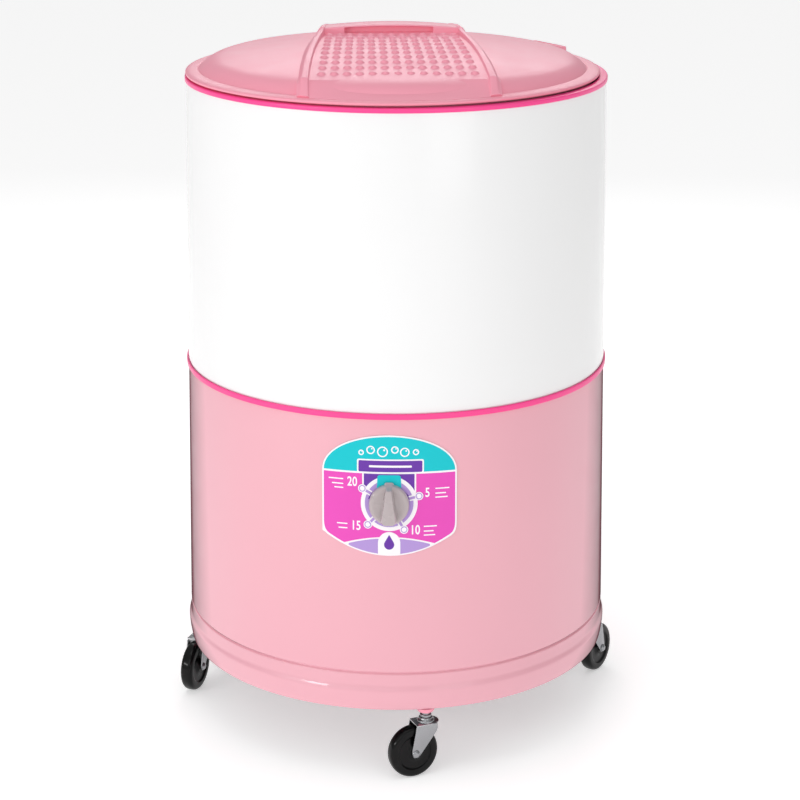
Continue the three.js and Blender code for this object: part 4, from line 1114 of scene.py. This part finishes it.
impeller_dish = lathe([
    (8.4, IMPELLER_Z - 2, 0.4), (18, IMPELLER_Z - 2, 0.6), (20, IMPELLER_Z + 6, 2),
    (150, IMPELLER_Z + 4, 6), (158, IMPELLER_Z - 1, 3), (IMPELLER_R, IMPELLER_Z - 1, 1),
    (IMPELLER_R, IMPELLER_Z + 2, 1.2), (152, IMPELLER_Z + 8, 8), (40, IMPELLER_Z + 14, 12),
    (24, IMPELLER_Z + 24, 5), (12, IMPELLER_Z + 25, 2), (12, IMPELLER_Z + 15, 1),
    (8.4, IMPELLER_Z + 15, 0.4),
], 120)
piece("impeller_moulded", [impeller_dish, *(impeller_fin(60 * i) for i in range(6))],
      "impeller_set", WHITE_PLASTIC, ["impeller"])
cap_z = IMPELLER_Z + 26.3
piece("impeller_cap_round",
      [lathe([(0, cap_z), (22, cap_z, 0.6), (21, cap_z + 3, 2), (14, cap_z + 6.5, 4),
                                    (0, cap_z + 8)])], "impeller_set", TRIM, ["impeller_cap"])


def slotted_grate():
    """Low dome over the drain with raised radial ribs."""
    top = TUB_FLOOR_Z + 1.8
    dome = lathe([(12.6, TUB_FLOOR_Z - 3, 0.3), (15, TUB_FLOOR_Z - 3, 0.3), (15, top, 0.3),
                  (24, top, 0.3), (24, top + 1.5, 0.8), (20, top + 3.4, 2), (0, top + 4.2),
                  (0, top + 2), (12.6, top + 1)], 64)
    rib = slab(rectangle(6.2, 0.9, 0.8, 13.4), top + 2.6, top + 5.0, 0.5)
    ribs = [turned(rib, 30 * i) for i in range(12)]
    return [dome, *ribs]


piece("drain_grate_ribbed",
      [at_back(shifted(shape, 0, DRAIN_R), HOSE_TURN_DEG) for shape in slotted_grate()], "cabinet",
      WHITE_PLASTIC, ["drain_grate"])


# ---------------------------------------------------------------- works under the tub

def at_motor(shape):
    return turned(shifted(shape, 0, MOTOR_DISTANCE), CHASSIS_TURN_DEG)


def pulley(pitch, bore):
    low, high = PULLEY_LOW_Z, PULLEY_HIGH_Z
    return lathe([(bore, low, 0.4), (pitch + 4, low, 0.6), (pitch + 4, low + 2, 0.6),
                  (pitch - 5, 306.4, 1), (pitch - 5, 313.6, 1), (pitch + 4, high - 2, 0.6),
                  (pitch + 4, high, 0.6), (bore, high, 0.4)], 96)


motor_shell = lathe([
    (0, 186), (48, 186, 3), (50, 200, 2), (58, 206, 2), (MOTOR_R, 208, 1.5), (MOTOR_R, 262, 1.5),
    (58, 264, 2), (50, 270, 2), (46, 284, 5), (16, 284, 1), (14, 292, 1), (6.3, 292, 0.3),
    (6.3, 226), (0, 226),
], 96)


def motor_fin(angle):
    """A low upright rib on the motor's side."""
    corners = [(60.6, 1.4), (61.9, 1.4), (61.9, -1.4), (60.6, -1.4)]
    return slab([(r * cos(angle) - half * sin(angle),
                  r * sin(angle) + half * cos(angle), 0.5) for r, half in corners],
                212, 258, 0.3)


motor_fins = [motor_fin(tau * k / MOTOR_FINS) for k in range(MOTOR_FINS)]
housing_top = TUB_FLOOR_Z - 0.3
SPUN = [
    ("bearing_housing_cast", lathe([(12.3, 336, 0.4), (20, 336, 1.5), (20, 389.7, 3),
                                    (26, 398.7, 3), (58, 399.7, 1), (58, housing_top, 1),
                                    (12.3, housing_top, 0.4)], 64),
     "cabinet", ALUMINIUM, "bearing_housing"),
    ("drive_shaft_turned", lathe([(0, 296), (SHAFT_R, 296, 0.8), (SHAFT_R, 439, 0.8), (0, 439)]),
     "impeller_set", ZINC, "drive_shaft"),
    ("driven_pulley_cast", pulley(DRIVEN_PITCH_R, SHAFT_R + 0.3), "impeller_set", ALUMINIUM,
     "driven_pulley"),
    ("motor_pulley_cast", at_motor(pulley(MOTOR_PITCH_R, MOTOR_SHAFT_R + 0.3)), "motor_rotor",
     ALUMINIUM, "motor_pulley"),
    ("motor_shaft_turned", at_motor(lathe([(0, 230), (MOTOR_SHAFT_R, 230, 0.5),
                                           (MOTOR_SHAFT_R, 320, 0.6), (0, 320)])), "motor_rotor",
     ZINC, "motor_shaft"),
    ("capacitor_can", turned(shifted(lathe([(0, 116.3), (19, 116.3, 1), (19, 176, 2.5),
                                            (16, 179, 1.5), (0, 180)]), 120),
                             CHASSIS_TURN_DEG), "cabinet", ZINC, "capacitor"),
    ("timer_shaft_turned", at_timer(lathe([(0, -22), (3, -22, 0.4), (3, 11.5, 0.6), (0, 11.5)],
                                          32)), "timer_dial",
     ZINC, "timer_shaft"),
]
for spun_name, spun_shape, spun_body, spun_material, spun_node in SPUN:
    piece(spun_name, [spun_shape], spun_body, spun_material, [spun_node])
piece("motor_body_shell", [at_motor(motor_shell), *(at_motor(fin) for fin in motor_fins)],
      "cabinet", MOTOR, ["motor_body"])

CARRIED = {
    "upper_bush": BRONZE, "lower_bush": BRONZE, "tub_seal": RUBBER, "base_frame": DARK_STEEL,
    "motor_bracket": DARK_STEEL, "drive_belt": RUBBER, "drain_spout": BLACK_PLASTIC,
    "hose_clamp": ZINC, "inner_hose": HOSE, "timer_body": WHITE_PLASTIC, "label_plate": INK_WHITE,
}
for node, node_material in CARRIED.items():
    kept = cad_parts[node]
    kept.data.materials.clear()
    kept.data.materials.append(node_material)


# ---------------------------------------------------------------- floor, light and camera

FLOOR_REACH = 40           # metres
FLOOR_GLOW = 0.42
SEEN_STRENGTH = 0.9        # background strength that the camera sees

# Each light: where it is and what it faces (metres), its width and height (metres) and its watts.
LIGHTS = {
    "key_light": ((-0.8, -3.4, 2.2), (0, 0, 0.45), 2.0, 2.0, 10),
    "fill_light": ((1.6, -3.0, 1.0), (0, 0, 0.4), 1.4, 1.4, 6),
    "lid_light": ((0.1, 2.4, 2.0), (0, 0, 0.85), 1.8, 1.0, 17),
    "top_light": ((-0.3, -0.4, 3.2), (0, 0, 0.85), 1.6, 1.6, 9),
    "glint_light": ((-2.2, -1.9, 1.05), (0, 0, 0.2), 1.5, 0.26, 15),
}

CAMERA_PLACE = (0, -2.8742, 1.2991)
CAMERA_TILT_DEG = 6.417    # below level
LENS_MM = 99.69
SENSOR_MM = 36
LENS_SHIFT = {"shift_x": 0.0048, "shift_y": -0.544}
FARTHEST = 200             # metres


def floor():
    """A pale sheet that glows a little, so that it stays white to its far edge."""
    mesh = bpy.data.meshes.new("floor")
    reach = FLOOR_REACH
    mesh.from_pydata([(-reach, -reach, 0), (reach, -reach, 0), (reach, reach, 0),
                      (-reach, reach, 0)], [],
                     [(0, 1, 2, 3)])
    paper = finish("floor_paper", 0xfafafa, 0.9, mottle=0.0, grain=40, bump=0.0, wear=0.0)
    glow = paper.node_tree.nodes["Principled BSDF"].inputs
    glow["Emission Color"].default_value = (1, 1, 1, 1)
    glow["Emission Strength"].default_value = FLOOR_GLOW
    mesh.materials.append(paper)
    made = bpy.data.objects.new("floor", mesh)
    bpy.context.scene.collection.objects.link(made)


def softbox(name, place, target, width, height, watts):
    light = bpy.data.lights.new(name, "AREA")
    light.shape = "RECTANGLE"
    light.size = width
    light.size_y = height
    light.energy = watts
    made = bpy.data.objects.new(name, light)
    made.location = place
    made.rotation_mode = "QUATERNION"
    made.rotation_quaternion = (Vector(target) - Vector(place)).to_track_quat("-Z", "Y")
    bpy.context.scene.collection.objects.link(made)
    made.visible_camera = False


def studio():
    """A white room that darkens to both sides and behind, so that the white tub keeps a grey edge.
    The camera itself sees an even, brighter background."""
    world = bpy.data.worlds.new("studio")
    bpy.context.scene.world = world
    world.use_nodes = True
    tree = world.node_tree
    nodes = tree.nodes
    link = tree.links.new
    place = nodes.new("ShaderNodeTexCoord")
    split = nodes.new("ShaderNodeSeparateXYZ")
    link(place.outputs["Generated"], split.inputs["Vector"])
    sideways_part = nodes.new("ShaderNodeMath")
    sideways_part.operation = "ABSOLUTE"
    link(split.outputs["X"], sideways_part.inputs[0])

    both = nodes.new("ShaderNodeMath")
    both.operation = "MULTIPLY"
    across = map_range(tree, sideways_part.outputs["Value"], (0.4, 1.0), (0.66, 0.40), smooth=True)
    behind = map_range(tree, split.outputs["Y"], (-0.3, 0.9), (1.0, 0.55), smooth=True)
    link(across, both.inputs[0])
    link(behind, both.inputs[1])
    seen = nodes.new("ShaderNodeMix")
    seen.inputs["B"].default_value = SEEN_STRENGTH
    link(nodes.new("ShaderNodeLightPath").outputs["Is Camera Ray"], seen.inputs["Factor"])
    link(both.outputs["Value"], seen.inputs["A"])
    link(seen.outputs["Result"], nodes["Background"].inputs["Strength"])
    nodes["Background"].inputs["Color"].default_value = (1, 1, 1, 1)


floor()
studio()
for light_name, light_values in LIGHTS.items():
    softbox(light_name, *light_values)

camera_data = bpy.data.cameras.new("camera")
camera = bpy.data.objects.new("camera", camera_data)
bpy.context.scene.collection.objects.link(camera)
bpy.context.scene.camera = camera
camera.rotation_mode = "XYZ"
camera.location = CAMERA_PLACE
camera.rotation_euler = (radians(90 - CAMERA_TILT_DEG), 0, 0)
camera_data.sensor_width = SENSOR_MM
camera_data.lens = LENS_MM
camera_data.clip_end = FARTHEST

# The main picture is the lower part of a wider one, so its lens is shifted. The shift is the
# camera's rotation mode (Euler is 1, quaternion is 0) times an amount, so a camera that is turned
# to another view by quaternion keeps its lens straight.
for shift_path, shift_amount in LENS_SHIFT.items():
    curve = camera_data.driver_add(shift_path)
    curve.driver.type = "SUM"
    mode = curve.driver.variables.new()
    mode.targets[0].id = camera
    mode.targets[0].data_path = "rotation_mode"
    curve.modifiers[0].coefficients = (0.0, shift_amount)
bpy.context.scene.view_settings.view_transform = "Standard"
